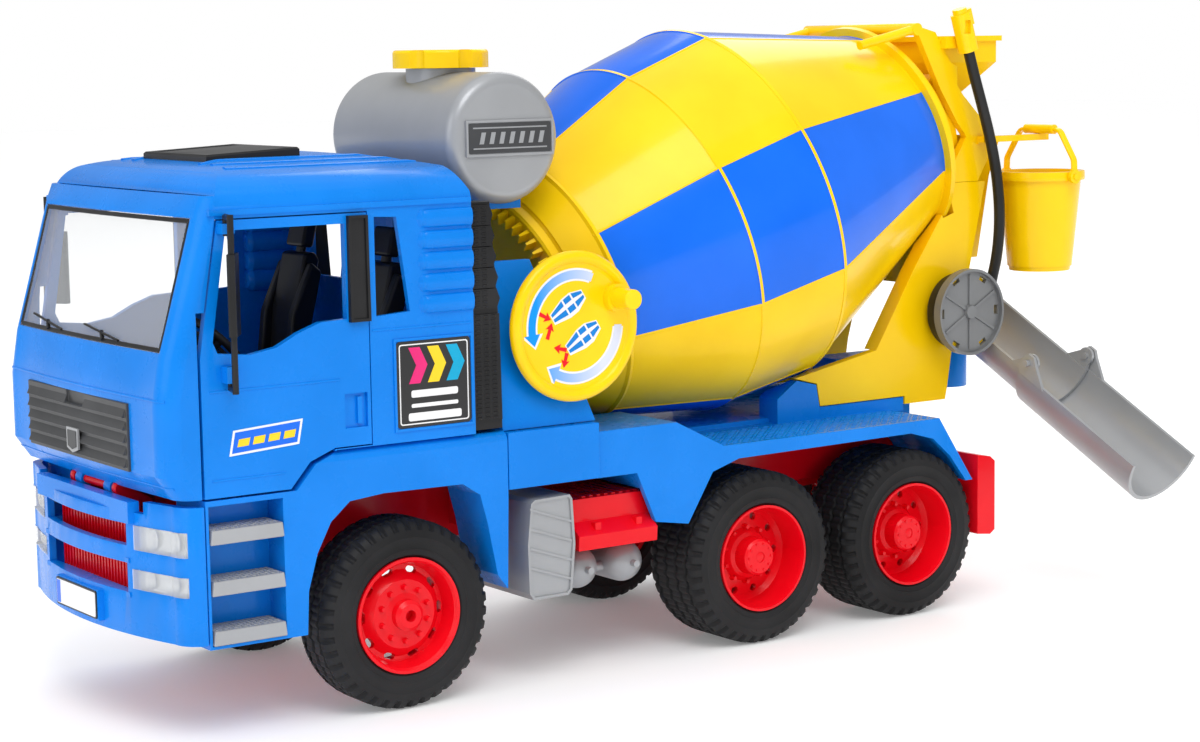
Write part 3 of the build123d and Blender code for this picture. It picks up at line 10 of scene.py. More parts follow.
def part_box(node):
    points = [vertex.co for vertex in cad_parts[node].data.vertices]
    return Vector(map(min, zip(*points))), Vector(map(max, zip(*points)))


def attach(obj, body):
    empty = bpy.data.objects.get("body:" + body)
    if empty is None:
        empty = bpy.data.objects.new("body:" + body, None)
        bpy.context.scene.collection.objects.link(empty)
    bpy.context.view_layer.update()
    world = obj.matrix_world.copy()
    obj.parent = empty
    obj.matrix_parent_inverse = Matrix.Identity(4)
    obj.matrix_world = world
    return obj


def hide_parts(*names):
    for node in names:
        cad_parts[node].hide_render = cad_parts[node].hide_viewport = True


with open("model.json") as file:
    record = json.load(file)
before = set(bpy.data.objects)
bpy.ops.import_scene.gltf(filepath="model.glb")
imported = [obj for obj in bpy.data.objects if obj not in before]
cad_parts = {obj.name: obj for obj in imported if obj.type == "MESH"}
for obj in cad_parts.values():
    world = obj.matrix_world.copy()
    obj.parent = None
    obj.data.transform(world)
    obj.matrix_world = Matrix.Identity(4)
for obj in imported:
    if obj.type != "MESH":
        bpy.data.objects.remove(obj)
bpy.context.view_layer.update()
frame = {"nodes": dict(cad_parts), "record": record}

# millimetres in metres, and half the widths of the body and of the water tank in millimetres
MM = 0.001
HALF_WIDTH = 79.0
TANK_HALF = 52.5
SIDES = {"left": 1, "right": -1}
nodes = frame["nodes"]


# ---------------------------------------------------------------- camera
camera_data = bpy.data.cameras.new("camera")
camera = bpy.data.objects.new("camera", camera_data)
bpy.context.scene.collection.objects.link(camera)
bpy.context.scene.camera = camera
CAMERA_PLACE = (0.9695, -0.5219, 0.2725)
CAMERA_TURN = (55.162, 7.264, -0.902)
yaw, pitch, roll = (math.radians(a) for a in CAMERA_TURN)
view_right = Vector((math.cos(yaw), math.sin(yaw), 0))
view_ahead = Vector((-math.sin(yaw) * math.cos(pitch), math.cos(yaw) * math.cos(pitch),
                     -math.sin(pitch)))
view_up = view_right.cross(view_ahead)
turned_right = view_right * math.cos(roll) + view_up * math.sin(roll)
turned_up = view_up * math.cos(roll) - view_right * math.sin(roll)
camera.matrix_world = Matrix((
    (turned_right.x, turned_up.x, -view_ahead.x, CAMERA_PLACE[0]),
    (turned_right.y, turned_up.y, -view_ahead.y, CAMERA_PLACE[1]),
    (turned_right.z, turned_up.z, -view_ahead.z, CAMERA_PLACE[2]),
    (0, 0, 0, 1),
))
camera_data.sensor_width = 36.0
camera_data.lens = 75.84
camera_data.clip_start = 0.01
camera_data.clip_end = 50


# ---------------------------------------------------------------- materials
def shader(name):
    """New material with its node tree, Principled shader and object coordinates."""
    material = bpy.data.materials.new(name)
    material.use_nodes = True
    tree = material.node_tree
    principled = tree.nodes["Principled BSDF"]
    coords = tree.nodes.new("ShaderNodeTexCoord")
    return material, tree, principled, coords


def noise(tree, coords, scale, detail=3.0, rough=0.5):
    """Noise over the object's own coordinates."""
    node = tree.nodes.new("ShaderNodeTexNoise")
    node.inputs["Scale"].default_value = scale
    node.inputs["Detail"].default_value = detail
    node.inputs["Roughness"].default_value = rough
    tree.links.new(coords.outputs["Object"], node.inputs["Vector"])
    return node


def ramp(tree, source, low, high, start=0.35, stop=0.65):
    """Colour from low to high as the source goes from start to stop."""
    node = tree.nodes.new("ShaderNodeValToRGB")
    node.color_ramp.elements[0].position = start
    node.color_ramp.elements[0].color = (*low, 1)
    node.color_ramp.elements[1].position = stop
    node.color_ramp.elements[1].color = (*high, 1)
    tree.links.new(source, node.inputs["Fac"])
    return node


def spread(tree, source, low, high):
    """The source, 0 to 1, stretched to lie between low and high."""
    node = tree.nodes.new("ShaderNodeMapRange")
    node.inputs["To Min"].default_value = low
    node.inputs["To Max"].default_value = high
    tree.links.new(source, node.inputs["Value"])
    return node


def plastic(name, colour, rough=0.28, vary=0.05, grain=0.02, grain_scale=2600.0, coat=0.12,
            metal=0.0, shine=0.2):
    """Moulded plastic: faint flow marks in the colour, uneven gloss and a fine skin texture."""
    material, tree, principled, coords = shader(name)
    flow = noise(tree, coords, 22.0, 4.0)
    low = tuple(c * (1 - vary) for c in colour)
    high = tuple(min(1.0, c * (1 + vary) + 0.004) for c in colour)
    tint = ramp(tree, flow.outputs["Fac"], low, high)
    tree.links.new(tint.outputs["Color"], principled.inputs["Base Color"])
    patches = noise(tree, coords, 60.0, 5.0, 0.6)
    gloss = spread(tree, patches.outputs["Fac"], rough * 0.8, rough * 1.25)
    tree.links.new(gloss.outputs["Result"], principled.inputs["Roughness"])
    skin = noise(tree, coords, grain_scale, 2.0)
    bump = tree.nodes.new("ShaderNodeBump")
    bump.inputs["Strength"].default_value = grain
    bump.inputs["Distance"].default_value = 0.0004
    tree.links.new(skin.outputs["Fac"], bump.inputs["Height"])
    tree.links.new(bump.outputs["Normal"], principled.inputs["Normal"])
    principled.inputs["Metallic"].default_value = metal
    principled.inputs["Specular IOR Level"].default_value = shine
    principled.inputs["Coat Weight"].default_value = coat
    principled.inputs["Coat Roughness"].default_value = 0.08
    return material


def clear(name, colour, alpha, rough=0.05):
    """Thin clear or smoked plastic."""
    material, tree, principled, coords = shader(name)
    smears = noise(tree, coords, 35.0, 4.0)
    gloss = spread(tree, smears.outputs["Fac"], rough * 0.6, rough * 2.2)
    tree.links.new(gloss.outputs["Result"], principled.inputs["Roughness"])
    principled.inputs["Base Color"].default_value = (*colour, 1)
    principled.inputs["Alpha"].default_value = alpha
    principled.inputs["Coat Weight"].default_value = 0.6
    principled.inputs["Coat Roughness"].default_value = 0.03
    return material


BLUE = (0.0, 0.2, 0.72)
DRUM_BLUE = (0.0, 0.135, 0.78)
YELLOW = (0.98, 0.61, 0.0)
blue = plastic("azure_plastic", BLUE, 0.27, coat=0.1, shine=0.14)
deep_blue = plastic("panel_blue", DRUM_BLUE, 0.14, coat=0.22)
yellow = plastic("yellow_plastic", YELLOW, 0.22, coat=0.15)
red = plastic("red_plastic", (0.78, 0.0, 0.008), 0.24)
silver = plastic("silver_plastic", (0.36, 0.37, 0.385), 0.34, metal=0.35)
black = plastic("black_plastic", (0.012, 0.012, 0.013), 0.38, vary=0.2, grain=0.05, coat=0.1)
dark_grey = plastic("dark_grey_plastic", (0.06, 0.062, 0.066), 0.4, vary=0.12, metal=0.2)
mid_grey = plastic("mid_grey_plastic", (0.19, 0.195, 0.2), 0.38, vary=0.08, metal=0.25)
rubber = plastic("tyre_rubber", (0.014, 0.014, 0.015), 0.55, vary=0.25, grain=0.12,
                 grain_scale=1500.0, coat=0.0)
hose_rubber = plastic("hose_rubber", (0.012, 0.012, 0.012), 0.3, vary=0.3, grain=0.04, coat=0.1)
steel = plastic("axle_steel", (0.5, 0.5, 0.51), 0.28, metal=1.0, coat=0.0)
glass = clear("windscreen_clear", (0.75, 0.78, 0.8), 0.22)
lens = clear("lamp_clear", (0.85, 0.88, 0.9), 0.35, 0.08)
white = plastic("label_white", (0.8, 0.8, 0.8), 0.3, vary=0.02)

finish_of = {
    "blue_body": blue, "yellow": yellow, "red": red, "black": black, "dark_grey": dark_grey,
    "mid_grey": mid_grey, "silver": silver, "tyre": rubber, "glass": glass, "lens": lens,
    "steel": steel, "hose_black": hose_rubber,
}
slot_of = {row["node"]: row["material_slot"] for row in frame["record"]["subparts"]}
for name, node in nodes.items():
    node.data.materials.clear()
    node.data.materials.append(finish_of[slot_of[name]])


# ---------------------------------------------------------------- stage
FLOOR_HALF = 8
FLOOR_GLOW = 0.16  # makes the far floor as bright as the backdrop
SKY_LIGHT, SKY_SEEN = 0.82, 1.0  # brightness as a light and as the camera sees it
SKY_MIRRORED = 0.55  # share of it left in reflections


def stage_floor():
    """White floor, kept out of the part."""
    mesh = bpy.data.meshes.new("floor")
    half = FLOOR_HALF
    mesh.from_pydata([(-half, -half, 0), (half, -half, 0), (half, half, 0), (-half, half, 0)], [],
                     [(0, 1, 2, 3)])
    floor = bpy.data.objects.new("floor", mesh)
    bpy.context.scene.collection.objects.link(floor)
    material, tree, principled, coords = shader("floor_white")
    principled.inputs["Base Color"].default_value = (0.94, 0.94, 0.94, 1)
    principled.inputs["Roughness"].default_value = 0.6
    principled.inputs["Emission Color"].default_value = (1, 1, 1, 1)
    principled.inputs["Emission Strength"].default_value = FLOOR_GLOW
    mesh.materials.append(material)


def area_light(name, place, target, size, power):
    """Square light at a place, turned to its target."""
    data = bpy.data.lights.new(name, "AREA")
    data.size = size
    data.energy = power
    light = bpy.data.objects.new(name, data)
    bpy.context.scene.collection.objects.link(light)
    light.location = place
    light.rotation_euler = (Vector(target) - Vector(place)).to_track_quat("-Z", "Y").to_euler()


stage_floor()
world = bpy.data.worlds.new("studio")
bpy.context.scene.world = world
world.use_nodes = True
sky = world.node_tree
background = sky.nodes["Background"]
background.inputs["Color"].default_value = (1, 1, 1, 1)
ray_kind = sky.nodes.new("ShaderNodeLightPath")
level = sky.nodes.new("ShaderNodeMath")
level.operation = "MULTIPLY"
seen = spread(sky, ray_kind.outputs["Is Camera Ray"], SKY_LIGHT, SKY_SEEN)
mirrored = spread(sky, ray_kind.outputs["Is Glossy Ray"], 1.0, SKY_MIRRORED)
sky.links.new(seen.outputs["Result"], level.inputs[0])
sky.links.new(mirrored.outputs["Result"], level.inputs[1])
sky.links.new(level.outputs["Value"], background.inputs["Strength"])
middle = (0, 0.1, 0.12)
area_light("key", (1.4, -0.5, 1.9), middle, 1.2, 20)
area_light("front_fill", (0.3, -2.2, 0.9), middle, 1.4, 8)
area_light("back_rim", (-1.4, 1.6, 1.5), middle, 1.2, 8)
overhead = bpy.data.lights.new("overhead", "SUN")
overhead.energy = 0.5
overhead.angle = math.radians(70)
bpy.context.scene.collection.objects.link(bpy.data.objects.new("overhead", overhead))
bpy.context.scene.view_settings.view_transform = "Standard"


# ---------------------------------------------------------------- building helpers
# points are in millimetres, and piece() turns them into metres
def piece(name, points, faces, finish, body, slot, crease=30.0):
    """New mesh piece; edges sharper than crease degrees stay sharp."""
    mesh = bpy.data.meshes.new(name)
    mesh.from_pydata([[c * MM for c in p] for p in points], [], faces)
    work = bmesh.new()
    work.from_mesh(mesh)
    bmesh.ops.remove_doubles(work, verts=work.verts, dist=1e-7)
    bmesh.ops.recalc_face_normals(work, faces=work.faces)
    for face in work.faces:
        face.smooth = True
    for edge in work.edges:
        edge.smooth = len(edge.link_faces) == 2 and edge.calc_face_angle(0) < math.radians(crease)
    work.to_mesh(mesh)
    work.free()
    thing = bpy.data.objects.new(name, mesh)
    bpy.context.scene.collection.objects.link(thing)
    for material in finish if isinstance(finish, list) else [finish]:
        mesh.materials.append(material)
    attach(thing, body)
    return thing


def turned(profile, angles, place):
    """Points and faces of a closed profile carried round a full turn."""
    points = [place(p, a) for a in angles for p in profile]
    n, m = len(profile), len(angles)
    faces = [(j * n + k, j * n + (k + 1) % n, (j + 1) % m * n + (k + 1) % n, (j + 1) % m * n + k)
             for j in range(m) for k in range(n)]
    return points, faces


def even(count):
    """Angles all the way round."""
    return [2 * math.pi * j / count for j in range(count)]


def slab(outline, place, low, high):
    """Closed plate between two levels; place(u, v, w) puts the outline's (u, v) points."""
    n = len(outline)
    points = [place(u, v, low) for u, v in outline] + [place(u, v, high) for u, v in outline]
    faces = [tuple(range(n)), tuple(range(n, 2 * n))]
    faces += [(k, (k + 1) % n, n + (k + 1) % n, n + k) for k in range(n)]
    return points, faces


def on_flank(side, face):
    """Placer for outlines of (y, z) on a side face, with w outwards."""
    return lambda u, v, w: (side * (face + w), u, v)


def on_front(face):
    """Placer for outlines of (x, z) on a front face, with w outwards."""
    return lambda u, v, w: (u, face - w, v)


def gather(parts):
    """Several (points, faces) shapes as one."""
    points, faces = [], []
    for more_points, more_faces in parts:
        base = len(points)
        points += more_points
        faces += [tuple(i + base for i in face) for face in more_faces]
    return points, faces


def stud(centre, across, along, up, size_across, size_along, height, top=0.6):
    """Small raised block with sloping sides, sunk a little at its base."""
    c, a, b, n = Vector(centre), Vector(across), Vector(along), Vector(up)
    points = []
    for level, scale in ((-0.15, 1.0), (height, top)):
        for i, j in ((-1, -1), (1, -1), (1, 1), (-1, 1)):
            points.append(c + a * (i * size_across * scale / 2) + b * (j * size_along * scale / 2)
                          + n * level)
    faces = [(0, 1, 2, 3), (4, 5, 6, 7), (0, 1, 5, 4), (1, 2, 6, 5), (2, 3, 7, 6), (3, 0, 4, 7)]
    return points, faces


surfaces = {}


def touch(node, start, direction):
    """Point and outward normal, in millimetres, where a line first meets a CAD node."""
    if node not in surfaces:
        mesh = nodes[node].data
        surfaces[node] = BVHTree.FromPolygons([v.co for v in mesh.vertices],
                                              [p.vertices for p in mesh.polygons])
    point, normal, _, _ = surfaces[node].ray_cast(Vector(start) * MM, Vector(direction))
    if point is None:
        return None
    if normal.dot(Vector(direction)) > 0:
        normal = -normal
    return point / MM, normal


def ribbon(hits, width, height, sunk=0.2):
    """Raised strip along a list of (point, normal) on a surface."""
    n = len(hits)
    points = []
    section = ((-0.5, -sunk), (-0.42, height * 0.75), (-0.25, height), (0.25, height),
               (0.42, height * 0.75), (0.5, -sunk))
    for i, (p, normal) in enumerate(hits):
        before = hits[max(i - 1, 0)][0]
        after = hits[min(i + 1, n - 1)][0]
        across = (after - before).cross(normal).normalized()
        for side_step, rise in section:
            points.append(p + across * width * side_step + normal * rise)
    faces = [(i * 6 + k, i * 6 + (k + 1) % 6, (i + 1) * 6 + (k + 1) % 6, (i + 1) * 6 + k)
             for i in range(n - 1) for k in range(6)]
    faces += [tuple(range(6)), tuple(range((n - 1) * 6, n * 6))]
    return points, faces


def strip_on(node, starts, direction, width, height):
    """Raised strip where lines from the starts meet a CAD node."""
    hits = [touch(node, start, direction) for start in starts]
    return ribbon([h for h in hits if h], width, height)


def spaced(start, end, count):
    """Points at equal steps from start to end."""
    return [[a + (b - a) * i / (count - 1) for a, b in zip(start, end)] for i in range(count)]


# ---------------------------------------------------------------- moulded edges on the CAD parts
def round_edges(thing, width, segments, angle):
    """Bevel along the edges sharper than an angle in degrees."""
    edge = thing.modifiers.new("edge", "BEVEL")
    edge.width = width * MM
    edge.segments = segments
    edge.limit_method = "ANGLE"
    edge.angle_limit = math.radians(angle)
    edge.harden_normals = True


def soften(names, width):
    """Rounded edges as modifiers; the CAD mesh itself stays as it is."""
    for name in names:
        weld = nodes[name].modifiers.new("weld", "WELD")
        weld.merge_threshold = 0.002 * MM
        flat = nodes[name].modifiers.new("flat", "DECIMATE")
        flat.decimate_type = "DISSOLVE"
        flat.angle_limit = math.radians(0.4)
        round_edges(nodes[name], width, 2, 30.0)


soften(["cab_shell", "front_bumper", "front_fenders", "rear_deck"], 0.6)
soften(["chassis_frame", "battery_boxes", "fuel_tanks", "step_treads", "grille",
        "drive_bracket", "rear_support", "hopper"], 0.4)


# ---------------------------------------------------------------- hose
HOSE_ROUTE = [
    (48.6, 354.8, 141), (49.6, 356.6, 152.5), (50.6, 360.2, 167.0), (51.0, 361.7, 186.0),
    (51.0, 359.6, 206.5), (50.8, 354.9, 226.0), (50.6, 348.8, 244.0), (50.4, 343.6008, 258.92),
    (50.4, 340.6, 268.6),
]
hose_data = bpy.data.curves.new("hose_line", "CURVE")
hose_data.dimensions = "3D"
hose_data.bevel_depth = 2.75 * MM
hose_data.bevel_resolution = 6
hose_data.resolution_u = 10
hose_data.use_fill_caps = True
hose_spline = hose_data.splines.new("NURBS")
hose_spline.points.add(len(HOSE_ROUTE) - 1)
for spline_point, place in zip(hose_spline.points, HOSE_ROUTE):
    spline_point.co = (*[c * MM for c in place], 1)
hose_spline.order_u = 3
hose_spline.use_endpoint_u = True
hose_line = bpy.data.objects.new("hose_line", hose_data)
bpy.context.scene.collection.objects.link(hose_line)
hose_data.materials.append(hose_rubber)
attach(hose_line, "truck")
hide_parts("hose")


# ---------------------------------------------------------------- tyres
AXLES = {"front": (0.0, 27), "mid": (188.2, 38), "rear": (279.0, 38)}  # place and tyre width
AXLE_HEIGHT = 40.0
TREAD_RADIUS, GROOVE_RADIUS = 40.0, 38.7
PITCHES, STEPS = 40, 6  # repeats of the tread round a tyre, and angles in each
WAVE = (0.55, 0.75, 0.55, -0.55, -0.75, -0.55)


def round_axle(out, axle_y, radius, angle):
    """Point on a circle round an axle, out from the middle of the truck."""
    return (out, axle_y + radius * math.sin(angle), AXLE_HEIGHT + radius * math.cos(angle))


def tyre_profile(width):
    """Closed section as (depth from the outer face, radius, kind)."""
    count = 4 if width > 30 else 3
    grooves = [width * (i + 1) / (count + 1) for i in range(count)]
    side = [(2.0, 24.5, "still"), (0.7, 25.6, "still"), (0.35, 27.5, "still"),
            (-0.05, 28.0, "still"), (0.3, 28.6, "still"), (0.1, 32.6, "still"),
            (-0.1, 33.0, "still"), (0.1, 33.6, "still"), (0.6, 36.0, "still"),
            (1.2, 37.2, "notch"), (2.4, 38.8, "notch"), (4.2, 39.8, "notch"), (6.0, 39.95, "still")]
    tread = []
    for g in grooves:
        tread += [(g - 1.25, TREAD_RADIUS, "wave"), (g - 0.75, GROOVE_RADIUS, "wave"),
                  (g + 0.75, GROOVE_RADIUS, "wave"), (g + 1.25, TREAD_RADIUS, "wave")]
    far = [(width - d, r, kind) for d, r, kind in reversed(side)]
    return side + tread + far


def tyre(name, node, side, axle_y, width, body):
    """Tyre with a waved tread in place of the plain one of the CAD."""
    angles = even(PITCHES * STEPS)

    def place(p, angle):
        depth, radius, kind = p
        phase = round(angle / (2 * math.pi) * PITCHES * STEPS) % STEPS
        if kind == "notch" and phase in (0, 1):
            radius -= 1.7
        if kind == "wave":
            depth += WAVE[phase]
            if phase in (2, 5) and radius > 39.5:
                radius -= 0.45
        return round_axle(side * (HALF_WIDTH - depth), axle_y, radius, angle)

    made = piece(name, *turned(tyre_profile(width), angles, place), rubber, body, "tyre", crease=38)
    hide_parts(node)


for axle, (axle_y, tyre_width) in AXLES.items():
    for side_name, side in SIDES.items():
        tyre(f"{axle}_tread_{side_name}", f"{axle}_tyre_{side_name}", side, axle_y, tyre_width,
             f"{axle}_wheels")


# ---------------------------------------------------------------- hub caps over the axle ends
for axle, (axle_y, _) in AXLES.items():
    lowest, highest = (Vector(corner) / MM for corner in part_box(f"{axle}_axle"))
    cap_radius = (highest.z - lowest.z) / 2 + 0.9
    end = highest.x
    profile = [(end - 0.6, 0), (end - 0.6, cap_radius), (end + 0.3, cap_radius),
               (end + 0.8, cap_radius * 0.7), (end + 1.0, 0)]
    caps = [turned(profile, even(32),
                   lambda p, a, side=side: round_axle(side * p[0], axle_y, p[1], a))
            for side in SIDES.values()]
    piece(f"{axle}_hub_caps", *gather(caps), red, f"{axle}_wheels", "red")


# ---------------------------------------------------------------- drum
TILT = math.radians(17.5)
DRUM_AXIS = Vector((0, math.cos(TILT), math.sin(TILT)))
DRUM_UP = Vector((0, -math.sin(TILT), math.cos(TILT)))
DRUM_CENTRE = Vector((0, 200, 187.8))
ACROSS = Vector((1, 0, 0))


def drum_place(along, radius, angle):
    """Point of the drum by its distance along the axis, its radius and its turn."""
    outward = DRUM_UP * math.cos(angle) + ACROSS * math.sin(angle)
    return DRUM_CENTRE + DRUM_AXIS * along + outward * radius


SECTORS = 8
SECTOR_TURN = 360 / SECTORS
PANELS = 20  # angles in a sector
SEAM_START = 17.0
SEAM_HALF = 0.42
# distance along the axis and outer radius at the ends of the drum's three cones
bands = [(-82.7, 64.8), (-22.8, 85.5), (24.6, 89.2), (125.3, 53.5)]
drum_profile = [(-150, 0), (-150, 5.4), (-149.4, 6), (-100, 6), (-100, 46), (-97, 56.5),
                (-84, 63.6)]
for (s0, r0), (s1, r1) in zip(bands, bands[1:]):
    drum_profile += [(s0 - 0.5, r0 + 0.35), (s0 + 0.5, r0 + 0.35), (s0 + 1.1, r0 + 0.35)]
    for t in (0.02, 0.35, 0.65, 0.985):
        drum_profile.append((s0 + (s1 - s0) * t, r0 + (r1 - r0) * t))
drum_profile += [(125.3, 53.9), (126, 57.5), (128.6, 57.5), (129.4, 55), (131.5, 55), (131.5, 38),
                 (150, 38), (150, 35.6), (126, 35.6), (125.3, 51.1), (24.6, 86.8), (-22.8, 83.1),
                 (-82.7, 62.4), (-97.4, 54), (-97.4, 0)]
drum_angles = []
for sector in range(SECTORS):
    base = SEAM_START + SECTOR_TURN * sector
    drum_angles += [math.radians(base - SEAM_HALF), math.radians(base + SEAM_HALF)]
    for i in range(1, PANELS):
        drum_angles.append(math.radians(base + SECTOR_TURN * i / PANELS))
drum_points, drum_faces = turned(drum_profile, drum_angles, lambda p, a: drum_place(p[0], p[1], a))
drum_skin = piece("drum_skin", drum_points, drum_faces, [yellow, deep_blue], "drum", "yellow",
                  crease=11)
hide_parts("drum_shell")


def is_blue(centre):
    """True where a face of the drum lies on one of the four blue stripes."""
    offset = centre / MM - DRUM_CENTRE
    along = offset.dot(DRUM_AXIS)
    radial = offset - DRUM_AXIS * along
    angle = math.degrees(math.atan2(radial.dot(ACROSS), radial.dot(DRUM_UP))) % 360
    within = (angle - SEAM_START) % (2 * SECTOR_TURN)
    if not SECTOR_TURN + SEAM_HALF < within < 2 * SECTOR_TURN - SEAM_HALF:
        return False
    for (s0, r0), (s1, r1) in zip(bands, bands[1:]):
        skin = r0 + (r1 - r0) * (along - s0) / (s1 - s0)
        if s0 + 1.15 < along < s1 - 0.6:
            return radial.length > skin - 0.6
    return False


for polygon in drum_skin.data.polygons:
    if is_blue(polygon.center):
        polygon.material_index = 1

# thin beads along the eight seams
seam_beads = []
for sector in range(SECTORS):
    angle = math.radians(SEAM_START + SECTOR_TURN * sector)
    outward = DRUM_UP * math.cos(angle) + ACROSS * math.sin(angle)
    line = [(drum_place(s, r - 0.1, angle), outward) for s, r in [(-84, 63.8)] + bands]
    seam_beads.append(ribbon(line, 1.3, 0.4))
piece("drum_seams", *gather(seam_beads), yellow, "drum", "yellow")


# ---------------------------------------------------------------- crank disc pictures
# how far above the disc a white backing and a coloured print on it begin and end
BACKING, PRINT = (-0.1, 0.12), (0.0, 0.22)
ICON_SIZE = 9.6
CRANK_Y, CRANK_Z, CRANK_FACE = 86.0, 154.5, 78.0


def on_crank(u, v, w):
    """Placer for outlines of (y, z) from the middle of the disc."""
    return (CRANK_FACE + w, CRANK_Y + u, CRANK_Z + v)


def arc_arrow(start, stop, inner, outer, head, steps=28):
    """Curved arrow outline; angles in degrees from +Y towards +Z, head at the stop end."""
    def at(angle, radius):
        return (radius * math.cos(math.radians(angle)), radius * math.sin(math.radians(angle)))

    turns = [start + (stop - start) * i / steps for i in range(steps + 1)]
    way = 1 if stop > start else -1
    middle_radius = (inner + outer) / 2
    outline = [at(a, outer) for a in turns]
    outline += [at(stop, outer + head * 0.42), at(stop + way * head * 2.6, middle_radius),
                at(stop, inner - head * 0.42)]
    outline += [at(a, inner) for a in reversed(turns)]
    return outline


LEAN = math.radians(32)
ICON_HALF = [(-1.0, 0.27), (-0.12, 0.5), (0.38, 0.5), (1.0, 0.24)]


def on_icon(u, v, a, b):
    """Point of a picture whose long axis leans up to the right; a runs along it, b across it."""
    a, b = a * ICON_SIZE, b * ICON_SIZE
    return (u + a * math.cos(LEAN) - b * math.sin(LEAN),
            v + a * math.sin(LEAN) + b * math.cos(LEAN))


def drum_icon(u, v):
    """Outline of a mixer drum seen from the side."""
    shape = ICON_HALF + [(a, -h) for a, h in reversed(ICON_HALF)]
    return [on_icon(u, v, a, b) for a, b in shape]


def icon_stripes(u, v):
    """Two stripes of three fields each, inside the outline."""
    fields = []
    for low, high in ((0.34, 0.86), (-0.62, -0.06)):
        for (a0, h0), (a1, h1) in zip(ICON_HALF, ICON_HALF[1:]):
            near, far = a0 + 0.05, a1 - 0.05
            outline = [(near, low * h0), (far, low * h1), (far, high * h1), (near, high * h0)]
            fields.append([on_icon(u, v, a, b) for a, b in outline])
    return fields


def small_arrow(tail, tip):
    """Outline of a straight arrow."""
    (u0, v0), (u1, v1) = tail, tip
    length = math.hypot(u1 - u0, v1 - v0)
    du, dv = (u1 - u0) / length, (v1 - v0) / length
    half = [(0, 0.9), (length - 2.8, 0.7), (length - 3.2, 2.1)]
    shape = half + [(length, 0)] + [(p, -q) for p, q in reversed(half)]
    return [(u0 + p * du - q * dv, v0 + p * dv + q * du) for p, q in shape]


def faded(name, pale, full, start_y, stop_y):
    """Printed film that goes from full at start_y to pale at stop_y."""
    material, tree, principled, coords = shader(name)
    split = tree.nodes.new("ShaderNodeSeparateXYZ")
    tree.links.new(coords.outputs["Object"], split.inputs["Vector"])
    along = tree.nodes.new("ShaderNodeMapRange")
    along.inputs["From Min"].default_value = start_y * MM
    along.inputs["From Max"].default_value = stop_y * MM
    tree.links.new(split.outputs["Y"], along.inputs["Value"])
    tint = ramp(tree, along.outputs["Result"], full, pale, 0.0, 1.0)
    tree.links.new(tint.outputs["Color"], principled.inputs["Base Color"])
    principled.inputs["Roughness"].default_value = 0.25
    principled.inputs["Specular IOR Level"].default_value = 0.2
    return material


arrow_film = faded("arrow_film", (0.66, 0.7, 0.84), (0.0, 0.28, 0.88), CRANK_Y - 20, CRANK_Y + 14)
icon_blue = plastic("icon_blue", (0.0, 0.2, 0.62), 0.25, vary=0.03)
white_marks, blue_marks, red_marks, icon_marks = [], [], [], []
for start, blue_start, stop in ((68, 66, 186), (-4, -2, -116)):
    white_marks.append(slab(arc_arrow(start, stop, 19.6, 25.1, 6.4), on_crank, *BACKING))
    blue_marks.append(slab(arc_arrow(blue_start, stop, 20.5, 24.2, 5.0), on_crank, *PRINT))
for u, v in ((-3.6, 8.6), (4.0, -5.1)):
    white_marks.append(slab(drum_icon(u, v), on_crank, *BACKING))
    icon_marks += [slab(field, on_crank, *PRINT) for field in icon_stripes(u, v)]
for tail, tip in (((-18.4, 6.6), (-12.6, 3.6)), ((-14.6, -4.6), (-12.2, 2.2)),
                  ((-4.8, -9.9), (-11.2, -8.4)), ((-4.6, -11.2), (-6.4, -17.4))):
    red_marks.append(slab(small_arrow(tail, tip), on_crank, 0.0, 0.26))
piece("crank_marks_white", *gather(white_marks), white, "crank", "white")
piece("crank_marks_blue", *gather(blue_marks), arrow_film, "crank", "drum_blue")
piece("crank_marks_icons", *gather(icon_marks), icon_blue, "crank", "drum_blue")
piece("crank_marks_red", *gather(red_marks), red, "crank", "red")


# ---------------------------------------------------------------- labels, without lettering
def rounded(low, high, radius, steps=5):
    """Outline of a rectangle with round corners."""
    (u0, v0), (u1, v1) = low, high
    outline = []
    for cu, cv, first in ((u1 - radius, v1 - radius, 0), (u0 + radius, v1 - radius, 90),
                          (u0 + radius, v0 + radius, 180), (u1 - radius, v0 + radius, 270)):
        for i in range(steps + 1):
            a = math.radians(first + 90 * i / steps)
            outline.append((cu + radius * math.cos(a), cv + radius * math.sin(a)))
    return outline


def ring(outer, inner, place, low, high):
    """Closed frame between two outlines of equally many points and between two levels."""
    n = len(outer)
    points = [place(u, v, w) for w in (low, high) for line in (outer, inner) for u, v in line]
    faces = []
    for k in range(n):
        j = (k + 1) % n
        faces += [(k, j, n + j, n + k), (2 * n + k, 2 * n + j, 3 * n + j, 3 * n + k),
                  (k, j, 2 * n + j, 2 * n + k), (n + k, n + j, 3 * n + j, 3 * n + k)]
    return points, faces


pink = plastic("label_pink", (0.75, 0.02, 0.18), 0.3, vary=0.03)
label_yellow = plastic("label_yellow", (0.9, 0.62, 0.02), 0.3, vary=0.03)
label_cyan = plastic("label_cyan", (0.0, 0.36, 0.6), 0.3, vary=0.03)
label_black = plastic("label_black", (0.01, 0.01, 0.011), 0.16, vary=0.2, coat=0.5)

